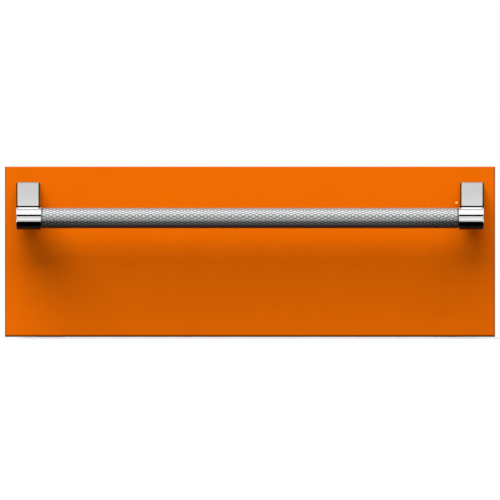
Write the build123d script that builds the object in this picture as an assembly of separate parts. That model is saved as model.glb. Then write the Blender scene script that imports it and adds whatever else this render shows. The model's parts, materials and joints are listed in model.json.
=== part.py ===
"""A built-in warming drawer, 30 inch class: an insulated steel case with a heated cavity, and a drawer on
telescopic ball-bearing slides whose overlay front carries a knurled bar handle.

The case has an outer shell, a cavity with one long bent heating tube under the drawer, and a flat compartment
on top for the electronics. A seal on the drawer front closes the cavity. The keys sit on the front frame above
the cavity, behind the closed front, and a small light pipe through the front shows their status lamp.

Frame: x across, y from front to back, z up, in millimetres. y = 0 is the face of the cabinet that the
appliance is built into, and z = 0 is the floor of the cabinet's cut-out. The origin is the middle of both.
"""

import os

from build123d import *

# Driving dimensions of the overlay front, read from its outline and a 29 7/8 by 10 3/8 inch standard front.
FRONT_W = 758.8
FRONT_H = 263.5
FRONT_T = 35.0
FRONT_LIFT = 3.0  # the front's lower edge clears the floor of the cut-out
SKIN_T = 1.5
EDGE_R = 2.4
LINER_FOLD = 12.0  # how far the inner sheet's edges are folded forward

# The handle: a knurled tube in two cast brackets.
BAR_D = 31.75
BAR_DROP = 79.7  # from the front's top edge to the bar's axis
BAR_STANDOFF = 58.0  # from the front's face to the bar's axis
BAR_WALL = 2.5
SPIGOT_D = 29.8  # the bar is turned down to this at both ends
COLLAR_D = 36.0
COLLAR_L = 38.0
COLLAR_BORE_D = 30.1
BRACKET_W = 36.0
BRACKET_TOP_DROP = 24.5
BRACKET_INSET = 18.4  # from the front's side edge to the bracket's outer side
BRACKET_FACE = 1.5  # the bracket's face stands this far before the bar's axis
COLLAR_END_T = 4.0  # the collar is closed at its outer end by this much metal
NECK_L = 1.7  # of the turned end, this much shows before the collar
ARM_BACK = 17.2  # the arm's thickness above the collar, behind the bar's axis
ARM_UNDERSIDE = 14.0  # the arm's lower side, above the bar's axis
ARM_BLEND_R = 10.8
ARM_CHAMFER = 1.2
COLLAR_CHAMFER = 0.9
JOINT_GROOVE = (16.7, 18.6)  # heights above the bar's axis of the dark joint between arm and collar
JOINT_DEPTH = 1.0  # of that joint, behind the arm's face

# The indicator lamp's lens, a light pipe through the front.
LENS_X = 319.8
LENS_DROP = 56.0
LENS_R = 1.95
LENS_TAIL = 2.6
LENS_PLAY = 0.1

# The case.
CASE_W = 720.0
CASE_TOP = 232.0
CASE_D = 575.0
SHEET = 1.0
RAIL_H = 10.0
FRAME_T = 1.5
SEAL_GAP = 5.0
SIDE_LAP = 15.0  # how far the floor's and the lid's edges lap the side panels
LAP_Y = (1.0, 560.0)
BEAD_W = 14.0
BEAD_DEPTH = 0.8
SIDE_BEAD_YS = (150.0, 430.0)
SIDE_BEAD_Z = (45.0, 195.0)
LID_BEAD_YS = (120.0, 300.0)
LID_BEAD_X = 280.0
VENT_GRID = (60.0, 8.0, 5, 3)  # the rear cooling slots: pitches and counts across and up
REAR_VENT = (80.0, 214.0)

# The cavity.
CAVITY_HALF_W = 335.5
CAVITY_FLOOR = 31.0
CAVITY_TOP = 186.0
CAVITY_D = 540.0
LINING = 1.2
SHELF_Z = 197.0
PROBE_R = 3.0
SENSOR_X = 200.0
SENSOR_Z = 177.0

# The drawer box.
PAN_HALF_W = 320.0
PAN_Y = (4.0, 508.0)
PAN_Z = (52.0, 168.0)
PAN_T = 1.2
PAN_CORNER_R = 22.0
PAN_FLOOR_CUT = 7.0
PAN_FLANGE = 8.0
PAN_HOOK = 4.0
SIDE_T = 1.5
SIDE_OUT = CAVITY_HALF_W - 12.7  # a slide is 12.7 mm thick
SIDE_Z = (50.0, 168.0)
SIDE_FLANGE_Z = (58.0, 160.0)
SIDE_END = 512.0

# The telescopic slides. u runs from the cavity wall towards the drawer and v is up from the slide's middle.
SLIDE_Y = (8.0, 508.0)
SLIDE_Z = 118.0
SLIDE_T = 12.7
SLIDE_HALF_H = 22.5
MEMBER_T = 1.2
RACE_CLEARANCE = 0.15
OUTER_BALL_R = 2.2
INNER_BALL_R = 1.8
CAGE_T = 0.6
CAGE_GAP = 0.3
CAGE_Y = (135.0, 375.0)
BALLS_IN_ROW = 3
BALL_SHARE = 0.86  # of a ball's radius, so that the corners of its facets stay inside the races
BALL_CUT = 0.586  # of that, off each edge of the cube it is cut from

# The heating element.
ELEMENT_R = 3.25
ELEMENT_Z = 42.0
ELEMENT_X = 190.0
ELEMENT_FRONT = 85.0
ELEMENT_BEND_R = 55.0
ELEMENT_TAIL = 546.0

# The controls on the front frame.
FASCIA_X = (150.0, 340.0)
FASCIA_Z = (203.5, 226.5)
FASCIA_LIP = 3.0
FASCIA_BACK = 6.0
BOARD_Y = (12.0, 13.6)
KEY_XS = {"key_power": 172.0, "key_level": 202.0, "key_timer": 232.0}
KEY_Z = 215.0
KEY_SIZE = (17.4, 10.4)
KEY_TRAVEL = 0.8
KEY_STEM_END = 7.2
LEVEL_BAR = ((252.0, 292.0), (213.2, 216.8))

# The humidity vent in the drawer front's lining.
VENT_Z = 177.0
VENT_SLOTS = 5
VENT_PITCH = 28.0
VENT_SLOT = (10.0, 5.0)
VENT_PLATE_H = 10.0
VENT_TRAVEL = 13.0

# Derived places.
FRONT_TOP = FRONT_LIFT + FRONT_H
LINER_Y = -FRAME_T - SEAL_GAP
FRONT_Y = LINER_Y - FRONT_T
BAR_Y = FRONT_Y - BAR_STANDOFF
BAR_Z = FRONT_TOP - BAR_DROP
BRACKET_OUT = FRONT_W / 2 - BRACKET_INSET
COLLAR_IN = BRACKET_OUT - COLLAR_L
BRACKET_TOP = FRONT_TOP - BRACKET_TOP_DROP
LENS_Z = FRONT_TOP - LENS_DROP
CASE_X = CASE_W / 2
BASE_Z = RAIL_H

HANDLE_SCREW_X = BRACKET_OUT - BRACKET_W / 2
HANDLE_SCREW_Z = BAR_Z + 40.0
HANDLE_SCREW_R = 3.9
SCREW_PLAY = 0.3
HIDDEN_SIDES = 12
LUG_Z = BAR_Z + 22.0
LUG_SIZE = (8.0, 6.0)
LUG_PLAY = 0.2
PLATE_T = 3.0
FRAME_W = 748.0
FRAME_HOLE_R = 2.4
FRAME_HOLE_X = 368.0
FRAME_HOLE_ZS = (40.0, 214.0)
INLET_X = -220.0
INLET_Z = 214.0
INLET_BORE_R = 5.0
INLET_NECK_R = 8.0
POWER_BOARD = ((60.0, 200.0), (380.0, 480.0))


def block(x, y, z):
    """A box given by its low and high x, y and z."""
    size = [high - low for low, high in (x, y, z)]
    middle = [(high + low) / 2 for low, high in (x, y, z)]
    return Pos(*middle) * Box(*size)


def rod_x(radius, x, y, z):
    """A round bar along x between the two ends in x."""
    return Pos((x[0] + x[1]) / 2, y, z) * Rot(0, 90, 0) * Cylinder(radius, x[1] - x[0])


def rod_y(radius, x, y, z):
    """A round bar along y between the two ends in y."""
    return Pos(x, (y[0] + y[1]) / 2, z) * Rot(90, 0, 0) * Cylinder(radius, y[1] - y[0])


def rod_z(radius, x, y, z):
    """A round bar along z between the two ends in z."""
    return Pos(x, y, (z[0] + z[1]) / 2) * Cylinder(radius, z[1] - z[0])


def upright(sketch, y):
    """A sketch drawn as seen from the front, x to the right and z up, made solid between the depths in y."""
    return extrude(Plane.XZ.offset(-y[1]) * sketch, amount=y[1] - y[0])


def sideways(sketch, x):
    """A sketch drawn with y to the right and z up, made solid between the places in x."""
    return extrude(Plane.YZ.offset(x[0]) * sketch, amount=x[1] - x[0])


def level(sketch, z):
    """A sketch drawn in plan, made solid between the heights in z."""
    return extrude(Plane.XY.offset(z[0]) * sketch, amount=z[1] - z[0])


def folded(points, thickness):
    """The section of a bent sheet, which lies to the left of the line of its outer side."""
    line = Polyline(*points)
    return make_face(offset(line, amount=thickness, kind=Kind.INTERSECTION, side=Side.LEFT, closed=True))


def other_side(shape):
    """The same shape on the opposite side of the appliance."""
    return mirror(shape, about=Plane.YZ)


def sector(centre, inner, outer, start, turn):
    """A flat ring sector about centre, from the angle start through turn, in degrees."""
    near = CenterArc(centre, inner, start, turn)
    far = CenterArc(centre, outer, start, turn)
    return make_face([near, far, Line(near @ 0, far @ 0), Line(near @ 1, far @ 1)])


def save(name, *shapes):
    """Writes one sub-part, of one or several solids."""
    solids = [solid for shape in shapes for solid in shape.solids()]
    whole = solids[0] if len(solids) == 1 else Compound(children=solids)
    whole.label = name
    export_step(whole, f"parts/{name}.step")


# Drawer front


def front_skin():
    """The painted overlay front: a sheet folded back on all four sides, with its corners welded."""
    half = FRONT_W / 2
    slab = block((-half, half), (FRONT_Y, LINER_Y), (FRONT_LIFT, FRONT_TOP))
    slab = fillet(slab.faces().sort_by(Axis.Y)[0].edges(), EDGE_R)
    skin = offset(slab, amount=-SKIN_T, openings=slab.faces().sort_by(Axis.Y)[-1])
    through = (FRONT_Y - 1.0, FRONT_Y + SKIN_T + 1.0)
    for x in (-HANDLE_SCREW_X, HANDLE_SCREW_X):
        skin -= rod_y(HANDLE_SCREW_R + SCREW_PLAY, x, through, HANDLE_SCREW_Z)
        skin -= upright(Pos(x, LUG_Z) * Rectangle(LUG_SIZE[0] + LUG_PLAY, LUG_SIZE[1] + LUG_PLAY), through)
    return skin - rod_y(LENS_R + LENS_PLAY, LENS_X, through, LENS_Z)


def front_liner():
    """The stainless inner sheet, folded forward inside the skin, with the vent's row of slots."""
    gap = SKIN_T + 0.1
    half = FRONT_W / 2 - gap
    slab = block((-half, half), (LINER_Y - LINER_FOLD, LINER_Y), (FRONT_LIFT + gap, FRONT_TOP - gap))
    liner = offset(slab, amount=-SHEET, openings=slab.faces().sort_by(Axis.Y)[0])
    through = (LINER_Y - 2.0, LINER_Y + 1.0)
    lens_hole = LENS_TAIL + 2 * LENS_PLAY
    liner -= upright(Pos(LENS_X, LENS_Z) * Rectangle(lens_hole, lens_hole), through)
    for x in vent_slot_xs():
        liner -= upright(Pos(x, VENT_Z) * Rectangle(*VENT_SLOT), through)
    return liner


def front_insulation():
    """The fibre slab inside the front, with a way through for the vent's air and the light pipe."""
    slab = block((-368.0, 368.0), (LINER_Y - 24.5, LINER_Y - SHEET - 0.4), (14.0, 256.0))
    through = (LINER_Y - 30.0, LINER_Y)
    lens_way = 2 * LENS_R + 2.0
    air_way = (VENT_SLOTS + 1.4) * VENT_PITCH
    slab -= upright(Pos(LENS_X, LENS_Z) * Rectangle(lens_way, lens_way), through)
    return slab - upright(Pos(0, VENT_Z) * Rectangle(air_way, 16.0), through)


def front_gasket():
    """The silicone seal round the cavity's mouth, with a groove in its face."""
    middle = Pos(0, (CAVITY_TOP + CAVITY_FLOOR) / 2)
    mouth_w, mouth_h = 2 * CAVITY_HALF_W, CAVITY_TOP - CAVITY_FLOOR

    def ring(inner, outer, corner):
        """A band around the mouth, between two distances from its edge."""
        outside = middle * RectangleRounded(mouth_w + 2 * outer, mouth_h + 2 * outer, corner)
        return outside - middle * Rectangle(mouth_w + 2 * inner, mouth_h + 2 * inner)

    seal = upright(ring(3.0, 12.0, 12.0), (LINER_Y, -FRAME_T - 0.25))
    return seal - upright(ring(6.0, 9.0, 9.0), (-FRAME_T - 1.5, 0.0))


def indicator_lens():
    """The light pipe: a round tip in the skin, a shoulder behind it, and a square stem to the lining."""
    skin_back = FRONT_Y + SKIN_T
    centre = Pos(LENS_X, LENS_Z)
    shoulder = 2 * LENS_R + 1.6
    pipe = rod_y(LENS_R, LENS_X, (FRONT_Y - 0.6, skin_back), LENS_Z)
    pipe += upright(centre * Rectangle(shoulder, shoulder), (skin_back, skin_back + 1.2))
    return pipe + upright(centre * Rectangle(LENS_TAIL, LENS_TAIL), (skin_back + 1.2, LINER_Y + 0.3))


# Handle


def handle_bar():
    """The grip: a tube turned down where it enters the collars, with a narrow neck before each."""
    end = BRACKET_OUT - COLLAR_END_T - 0.5
    shoulder = COLLAR_IN - NECK_L
    bar = rod_x(SPIGOT_D / 2, (-end, end), BAR_Y, BAR_Z)
    bar += rod_x(BAR_D / 2, (-shoulder, shoulder), BAR_Y, BAR_Z)
    return bar - rod_x(BAR_D / 2 - BAR_WALL, (-end - 1, end + 1), BAR_Y, BAR_Z)


def handle_bracket():
    """The right bracket, one casting: an arm from the front's face, and a round collar below its end."""
    top = BRACKET_TOP - BAR_Z
    root, face = BAR_STANDOFF, -BRACKET_FACE
    blend = (ARM_BACK + ARM_BLEND_R, ARM_UNDERSIDE - ARM_BLEND_R)
    outline = [
        Polyline((ARM_BACK, blend[1]), (ARM_BACK, 0), (face, 0), (face, top), (root, top),
                 (root, ARM_UNDERSIDE), (blend[0], ARM_UNDERSIDE)),
        CenterArc(blend, ARM_BLEND_R, 90, 90),
    ]
    arm = sideways(Pos(BAR_Y, BAR_Z) * make_face(outline), (BRACKET_OUT - BRACKET_W, BRACKET_OUT))
    arm = chamfer(arm.edges().filter_by(arm_edge_shows), ARM_CHAMFER)
    collar = rod_x(COLLAR_D / 2, (COLLAR_IN, BRACKET_OUT), BAR_Y, BAR_Z)
    collar = chamfer(collar.edges().filter_by(GeomType.CIRCLE).sort_by(Axis.X)[-1], COLLAR_CHAMFER)
    body = arm + collar
    body -= rod_x(COLLAR_BORE_D / 2, (COLLAR_IN - 1, BRACKET_OUT - COLLAR_END_T), BAR_Y, BAR_Z)
    joint_y = (BAR_Y - COLLAR_D, BAR_Y - BRACKET_FACE + JOINT_DEPTH)
    body -= block((COLLAR_IN - 1, BRACKET_OUT + 1), joint_y, [BAR_Z + height for height in JOINT_GROOVE])
    # A lug enters the front's skin under the screw and keeps the bracket from turning.
    body += upright(Pos(HANDLE_SCREW_X, LUG_Z) * Rectangle(*LUG_SIZE), (FRONT_Y, FRONT_Y + SKIN_T))
    tapped = (FRONT_Y - 22.0, FRONT_Y + 1.0)
    return body - rod_y(HANDLE_SCREW_R + 0.1, HANDLE_SCREW_X, tapped, HANDLE_SCREW_Z)


def arm_edge_shows(edge):
    """Whether this edge of the bracket's arm can be seen once the bracket is on the front."""
    middle = edge.center()
    return middle.Z > BAR_Z + 15.0 and middle.Y < FRONT_Y - 1.0


def handle_backing_plate():
    """The stiffening plate behind the skin at the right bracket, slotted from its outer side."""
    half = BRACKET_W / 2 - 1.0
    slot = HANDLE_SCREW_R + SCREW_PLAY
    y = (FRONT_Y + SKIN_T, FRONT_Y + SKIN_T + PLATE_T)
    plate = block((HANDLE_SCREW_X - half, HANDLE_SCREW_X + half), y, (LUG_Z - 8.0, HANDLE_SCREW_Z + 14.0))
    z = (HANDLE_SCREW_Z - slot, HANDLE_SCREW_Z + slot)
    return plate - block((HANDLE_SCREW_X - slot, HANDLE_SCREW_X + half), y, z)


def handle_screw():
    """The hexagon-head screw from inside the front into the right bracket."""
    seat = FRONT_Y + SKIN_T + PLATE_T
    place = Pos(HANDLE_SCREW_X, HANDLE_SCREW_Z)
    head = upright(place * RegularPolygon(7.5, 6), (seat, seat + 5.3))
    # The shank is never seen, so a few sides stand for its round thread.
    return head + upright(place * RegularPolygon(HANDLE_SCREW_R, HIDDEN_SIDES), (FRONT_Y - 20.0, seat))


# Drawer box


def drawer_pan():
    """The pressed stainless tray: its turned-out rim is folded down at the sides, over the drawer sides."""
    middle = Pos(0, sum(PAN_Y) / 2)
    width, depth = 2 * PAN_HALF_W, PAN_Y[1] - PAN_Y[0]

    def outline(inset):
        """The tray's plan, drawn this far inside its outer wall, or outside it when negative."""
        return middle * RectangleRounded(width - 2 * inset, depth - 2 * inset, PAN_CORNER_R - inset)

    tray = level(outline(0), PAN_Z)
    tray = chamfer(tray.faces().sort_by(Axis.Z)[0].edges(), PAN_FLOOR_CUT)
    inside = level(outline(PAN_T), (PAN_Z[0] + PAN_T, PAN_Z[1] + 10.0))
    inside = chamfer(inside.faces().sort_by(Axis.Z)[0].edges(), PAN_FLOOR_CUT - PAN_T / 2)
    tray += level(outline(-PAN_FLANGE), (PAN_Z[1], PAN_Z[1] + PAN_T))
    edge, ends = PAN_HALF_W + PAN_FLANGE, (PAN_Y[0] + PAN_CORNER_R, PAN_Y[1] - PAN_CORNER_R)
    hook = block((edge - PAN_T, edge), ends, (PAN_Z[1] - PAN_HOOK, PAN_Z[1]))
    return tray + hook + other_side(hook) - inside


def drawer_side():
    """The right drawer side: a folded sheet that carries the pan, with a foot and two end flanges."""
    foot_x, front_x, rear_x = SIDE_OUT - 30.0, SIDE_OUT - 23.0, SIDE_OUT - 18.0
    web = folded([(foot_x, SIDE_Z[0]), (SIDE_OUT, SIDE_Z[0]), (SIDE_OUT, SIDE_Z[1])], SIDE_T)
    around = [(front_x, LINER_Y), (SIDE_OUT, LINER_Y), (SIDE_OUT, SIDE_END), (rear_x, SIDE_END)]
    side = upright(web, (LINER_Y, SIDE_END)) + level(folded(around, SIDE_T), SIDE_FLANGE_Z)
    # The web is cut lower at both ends, where the pan's rounded rim passes over it.
    for y in ((LINER_Y - 1.0, 30.0), (484.0, SIDE_END + 1.0)):
        side -= block((SIDE_OUT - 2.0, SIDE_OUT + 1.0), y, (SIDE_Z[1] - 4.5, SIDE_Z[1] + 1.0))
    return side


def wire_rack():
    """The wire rack in the pan: a flat round-cornered frame on feet, with cross wires welded on top."""
    bar, wire_r = 4.0, 1.7
    half_x, half_y, corner = 292.0, 224.0, 24.0
    middle = Pos(0, sum(PAN_Y) / 2)
    frame_z = (66.0, 66.0 + bar)
    outer = middle * RectangleRounded(2 * half_x, 2 * half_y, corner)
    inner = middle * RectangleRounded(2 * (half_x - bar), 2 * (half_y - bar), corner - bar)
    rack = [level(outer - inner, frame_z)]
    for x in (-150.0, 0.0, 150.0):
        rack.append(middle * block((x - bar / 2, x + bar / 2), (bar - half_y, half_y - bar), frame_z))
    # Each wire has a hexagonal section that stands on one flat, on the frame's upper side.
    rise = wire_r * 3 ** 0.5 / 2
    section = Rot(0, 0, 30) * RegularPolygon(wire_r, 6)
    wires, span = 15, 2 * half_y - 50.0
    for i in range(wires):
        y = sum(PAN_Y) / 2 + (i / (wires - 1) - 0.5) * span
        rack.append(sideways(Pos(y, frame_z[1] + rise) * section, (-half_x, half_x)))
    for x in (-half_x + bar / 2, half_x - bar / 2):
        for y in (60.0, 256.0, 452.0):
            foot = block((x - bar / 2, x + bar / 2), (y - 5.0, y + 5.0), (PAN_Z[0] + PAN_T, frame_z[0]))
            rack.append(foot)
    return rack


# Telescopic slides, drawn for the left side, where u = 0 is the cavity wall


def slide_races():
    """Where the two ball rows run: (u, v) of a ball's middle, from the sheet's thickness and the gaps."""
    first = MEMBER_T + CAGE_T + 2 * CAGE_GAP
    outer_wrap = OUTER_BALL_R + RACE_CLEARANCE + MEMBER_T
    outer = (first + outer_wrap, SLIDE_HALF_H - outer_wrap)
    second = first + MEMBER_T + CAGE_T + 2 * CAGE_GAP
    inner_wrap = INNER_BALL_R + RACE_CLEARANCE + MEMBER_T
    flange_under = outer[1] - OUTER_BALL_R - RACE_CLEARANCE - MEMBER_T
    inner = (second + inner_wrap, flange_under - INNER_BALL_R - RACE_CLEARANCE)
    return outer, inner


def on_both_edges(sketch):
    """A profile and its mirror image below the slide's middle."""
    return sketch + mirror(sketch, about=Plane.XZ)


def rect(u, v):
    """A flat rectangle given by its low and high u and v."""
    return Pos((u[0] + u[1]) / 2, (v[0] + v[1]) / 2) * Rectangle(u[1] - u[0], v[1] - v[0])


def outer_profile():
    """The cavity member: a web on the wall, and flanges that hook down over the outer balls."""
    (u, v), _ = slide_races()
    inner_r = OUTER_BALL_R + RACE_CLEARANCE
    flange = rect((0, u), (v + inner_r, SLIDE_HALF_H))
    hook = sector((u, v), inner_r, inner_r + MEMBER_T, 90, -100)
    web = rect((0, MEMBER_T), (-SLIDE_HALF_H, SLIDE_HALF_H))
    return on_both_edges(flange + hook) + web


def mid_profile():
    """The middle member: lips that cradle the outer balls, and hooks that close over the inner balls."""
    (u1, v1), (u2, v2) = slide_races()
    cradle_r = OUTER_BALL_R + RACE_CLEARANCE
    hook_r = INNER_BALL_R + RACE_CLEARANCE
    web_u = u1 - cradle_r - MEMBER_T
    cradle = sector((u1, v1), cradle_r, cradle_r + MEMBER_T, 170, 100)
    flange = rect((u1, u2), (v2 + hook_r, v1 - cradle_r))
    hook = sector((u2, v2), hook_r, hook_r + MEMBER_T, 90, -100)
    web = rect((web_u, web_u + MEMBER_T), (-v1 + 1.5, v1 - 1.5))
    return on_both_edges(cradle + flange + hook) + web


def inner_profile():
    """The drawer member: a web on the drawer side, and lips that cradle the inner balls."""
    _, (u, v) = slide_races()
    cradle_r = INNER_BALL_R + RACE_CLEARANCE
    edge = v - cradle_r
    cradle = sector((u, v), cradle_r, cradle_r + MEMBER_T, 170, 100)
    flange = rect((u, SLIDE_T), (edge - MEMBER_T, edge))
    web = rect((SLIDE_T - MEMBER_T, SLIDE_T), (-edge, edge))
    return on_both_edges(cradle + flange) + web


def slide_member(profile, y):
    """A member of the left slide, with its profile extruded over the length in y."""
    return upright(Pos(-CAVITY_HALF_W, SLIDE_Z) * profile, y)


def ball_cage(race, ball_r, web_u, strip_v):
    """A stamped cage of the left slide: a web with a pocketed strip along each edge, and its balls.

    Each ball is a cube with its edges and corners cut off, which keeps the many balls light.
    """
    u, v = race
    strip = rect((web_u, u + ball_r * 0.65), (strip_v, strip_v + CAGE_T))
    web = rect((web_u, web_u + CAGE_T), (-strip_v - CAGE_T, strip_v + CAGE_T))
    cage = slide_member(on_both_edges(strip) + web, CAGE_Y)
    pitch = (CAGE_Y[1] - CAGE_Y[0]) / BALLS_IN_ROW
    half = BALL_SHARE * ball_r
    ball = chamfer(Box(2 * half, 2 * half, 2 * half).edges(), BALL_CUT * half)
    pocket = Box(2 * ball_r, 2 * ball_r + 0.1, 2 * (strip_v + CAGE_T - v) + 1.0)
    balls = []
    for i in range(BALLS_IN_ROW):
        y = CAGE_Y[0] + (i + 0.5) * pitch
        for edge in (-1, 1):
            centre = Pos(-CAVITY_HALF_W + u, y, SLIDE_Z + edge * v)
            cage -= centre * pocket
            balls.append(centre * ball)
    return [cage, *balls]


def outer_cage():
    """The cage between the cavity member and the middle member."""
    race, _ = slide_races()
    return ball_cage(race, OUTER_BALL_R, MEMBER_T + CAGE_GAP, race[1] + 1.1)


def inner_cage():
    """The cage between the middle member and the drawer member."""
    _, race = slide_races()
    return ball_cage(race, INNER_BALL_R, 2 * MEMBER_T + CAGE_T + 3 * CAGE_GAP, race[1] + 0.8)


# Case and cavity


def base_pan():
    """The case's floor sheet, with its side edges folded up inside the side panels."""
    x, top = CASE_X - SHEET, BASE_Z + SIDE_LAP
    pan = upright(folded([(-x, top), (-x, BASE_Z), (x, BASE_Z), (x, top)], SHEET), (0.0, CASE_D - SHEET))
    for y in ((-1.0, LAP_Y[0]), (LAP_Y[1], CASE_D)):
        pan -= block((-CASE_X, CASE_X), y, (BASE_Z + SHEET, top + 1.0))
    return pan


def base_rail(y):
    """A hat-section runner across the underside, which the appliance stands on."""
    low, high = y
    brim, wall = 12.0, 1.5
    line = [(low, RAIL_H), (low, 0), (high, 0), (high, RAIL_H - wall), (high + brim, RAIL_H - wall)]
    return sideways(folded(line, wall), (-330.0, 330.0))


def side_panel():
    """The right outer side, with its front edge folded in and two beads pressed inwards."""
    fold = CASE_X - 14.0
    panel = level(folded([(fold, 0.0), (CASE_X, 0.0), (CASE_X, CASE_D)], SHEET), (BASE_Z, CASE_TOP))
    for z in ((BASE_Z - 1.0, BASE_Z + SHEET), (CASE_TOP - SHEET, CASE_TOP + 1.0)):
        panel -= block((fold - 1.0, CASE_X - SHEET), (-1.0, SHEET + 0.1), z)
    inner = CASE_X - SHEET
    for y in SIDE_BEAD_YS:
        ridge, hollow = BEAD_W / 2, BEAD_W / 2 - SHEET
        panel += block((inner - BEAD_DEPTH, inner), (y - ridge, y + ridge), SIDE_BEAD_Z)
        panel -= block((CASE_X - BEAD_DEPTH, CASE_X + 1.0), (y - hollow, y + hollow),
                       (SIDE_BEAD_Z[0] + SHEET, SIDE_BEAD_Z[1] - SHEET))
    return panel


def rear_panel():
    """The outer back, with forward edge folds, cooling slots and the supply inlet's hole."""
    x, y = CASE_X - SHEET, CASE_D - SHEET
    fold = LAP_Y[1] + 2.0
    panel = block((-x, x), (y, CASE_D), (BASE_Z + SHEET, CASE_TOP - SHEET))
    edges = folded([(x, fold), (x, CASE_D), (-x, CASE_D), (-x, fold)], SHEET)
    panel += level(edges, (BASE_Z + 2 * SHEET, CASE_TOP - SIDE_LAP - 3.0))
    through = (y - 1.0, CASE_D + 1.0)
    for place in GridLocations(*VENT_GRID):
        panel -= upright(Pos(*REAR_VENT) * place * Rectangle(42.0, 3.6), through)
    return panel - rod_y(INLET_NECK_R + 0.1, INLET_X, through, INLET_Z)


def top_cover():
    """The case's lid, with its side edges folded down and two beads pressed in across it."""
    x, low = CASE_X - SHEET, CASE_TOP - SIDE_LAP
    lid = upright(folded([(x, low), (x, CASE_TOP), (-x, CASE_TOP), (-x, low)], SHEET), (0.0, CASE_D))
    for y in ((-1.0, LAP_Y[0]), (LAP_Y[1], CASE_D + 1.0)):
        lid -= block((-CASE_X, CASE_X), y, (low - 1.0, CASE_TOP - SHEET))
    under = CASE_TOP - SHEET
    for y in LID_BEAD_YS:
        ridge, hollow = BEAD_W / 2, BEAD_W / 2 - SHEET
        lid += block((-LID_BEAD_X, LID_BEAD_X), (y - ridge, y + ridge), (under - BEAD_DEPTH, under))
        lid -= block((SHEET - LID_BEAD_X, LID_BEAD_X - SHEET), (y - hollow, y + hollow),
                     (CASE_TOP - BEAD_DEPTH, CASE_TOP + 1.0))
    return lid


def front_frame():
    """The flange against the cabinet's face: the cavity's mouth, the fascia's window, four screw holes."""
    (x0, x1), (z0, z1) = FASCIA_X, FASCIA_Z
    low, high = RAIL_H, 246.0
    plate = Pos(0, (low + high) / 2) * Rectangle(FRAME_W, high - low)
    mouth = Rectangle(2 * CAVITY_HALF_W, CAVITY_TOP - CAVITY_FLOOR)
    plate -= Pos(0, (CAVITY_FLOOR + CAVITY_TOP) / 2) * mouth
    plate -= Pos((x0 + x1) / 2, (z0 + z1) / 2) * Rectangle(x1 - x0 + 0.6, z1 - z0 + 0.6)
    for x in (-FRAME_HOLE_X, FRAME_HOLE_X):
        for z in FRAME_HOLE_ZS:
            plate -= Pos(x, z) * Circle(FRAME_HOLE_R)
    return upright(plate, (-FRAME_T, 0.0))


def cavity_floor():
    """The heat reflector under the element, a sheet with two stamped beads."""
    x = CAVITY_HALF_W
    under = CAVITY_FLOOR - SHEET
    floor = block((-x, x), (0.0, CAVITY_D), (under, CAVITY_FLOOR))
    for y in (40.0, 505.0):
        floor += block((-280.0, 280.0), (y - 5.0, y + 5.0), (CAVITY_FLOOR, CAVITY_FLOOR + 1.2))
        floor -= block((-279.0, 279.0), (y - 4.0, y + 4.0), (under - 1.0, under + 1.2))
    return floor


def cavity_side():
    """The cavity's right wall, which carries the slide, with its top and bottom folded out."""
    x, out = CAVITY_HALF_W, CAVITY_HALF_W + 16.0
    low = CAVITY_FLOOR - SHEET
    section = folded([(out, CAVITY_TOP), (x, CAVITY_TOP), (x, low), (out, low)], LINING)
    wall = upright(section, (0.0, CAVITY_D))
    return wall - block((x + LINING, out + 1.0), (-1.0, SHEET + 0.2), (low - 1.0, CAVITY_TOP + 1.0))


def cavity_rear():
    """The cavity's back wall, with holes for the element's two ends and the sensor."""
    half = CAVITY_HALF_W + LINING
    wall = block((-half, half), (CAVITY_D, CAVITY_D + LINING), (CAVITY_FLOOR - SHEET, CAVITY_TOP))
    through = (CAVITY_D - 1.0, CAVITY_D + 3.0)
    hole = 2 * ELEMENT_R + 0.6
    for x in (-ELEMENT_X, ELEMENT_X):
        wall -= upright(Pos(x, ELEMENT_Z) * Rectangle(hole, hole), through)
    return wall - rod_y(PROBE_R + 0.1, SENSOR_X, through, SENSOR_Z)


def cavity_ceiling():
    """The sheet over the cavity."""
    x = CAVITY_HALF_W + 16.0
    return block((-x, x), (SHEET, CAVITY_D + LINING), (CAVITY_TOP, CAVITY_TOP + SHEET))


def electronics_shelf():
    """The plate that carries the electronics, with its front edge folded up."""
    x, y0 = CASE_X - 2 * SHEET - 0.2, SHEET + 0.2
    shelf = block((-x, x), (y0, CASE_D - SHEET - 0.2), (SHELF_Z, SHELF_Z + SHEET))
    return shelf + block((-x + 16.0, FASCIA_X[0] - 12.0), (y0, y0 + SHEET), (SHELF_Z, SHELF_Z + 16.0))


def insulation_walls():
    """The fibre blankets beside and behind the cavity, with pockets for what the back wall carries."""
    outer, back = CASE_X - 2 * SHEET - 0.4, CASE_D - 2 * SHEET
    z = (CAVITY_FLOOR + LINING, CAVITY_TOP - LINING - 0.2)
    right = block((CAVITY_HALF_W + LINING + 0.2, outer), (1.4, CAVITY_D + LINING), z)
    rear = block((-outer, outer), (CAVITY_D + LINING + 0.2, back), (z[0], z[1] + 1.0))
    through = (CAVITY_D, CASE_D)
    for side in (-1, 1):
        rear -= upright(Pos(side * ELEMENT_X, ELEMENT_Z + 2.0) * Rectangle(28.0, 28.0), through)
        rear -= upright(Pos(side * SENSOR_X, SENSOR_Z - 1.5) * Rectangle(20.0, 23.0), through)
    return right, other_side(right), rear


def insulation_base():
    """The fibre blanket under the cavity."""
    x = CASE_X - 2 * SHEET - 0.4
    return block((-x, x), (1.4, CASE_D - 2 * SHEET), (BASE_Z + SHEET + 0.2, CAVITY_FLOOR - SHEET - 0.2))


def insulation_top():
    """The fibre blanket between the ceiling and the electronics."""
    x = CASE_X - 2 * SHEET - 0.4
    return block((-x, x), (1.4, CASE_D - 2 * SHEET), (CAVITY_TOP + SHEET + 0.2, SHELF_Z - 0.2))


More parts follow.
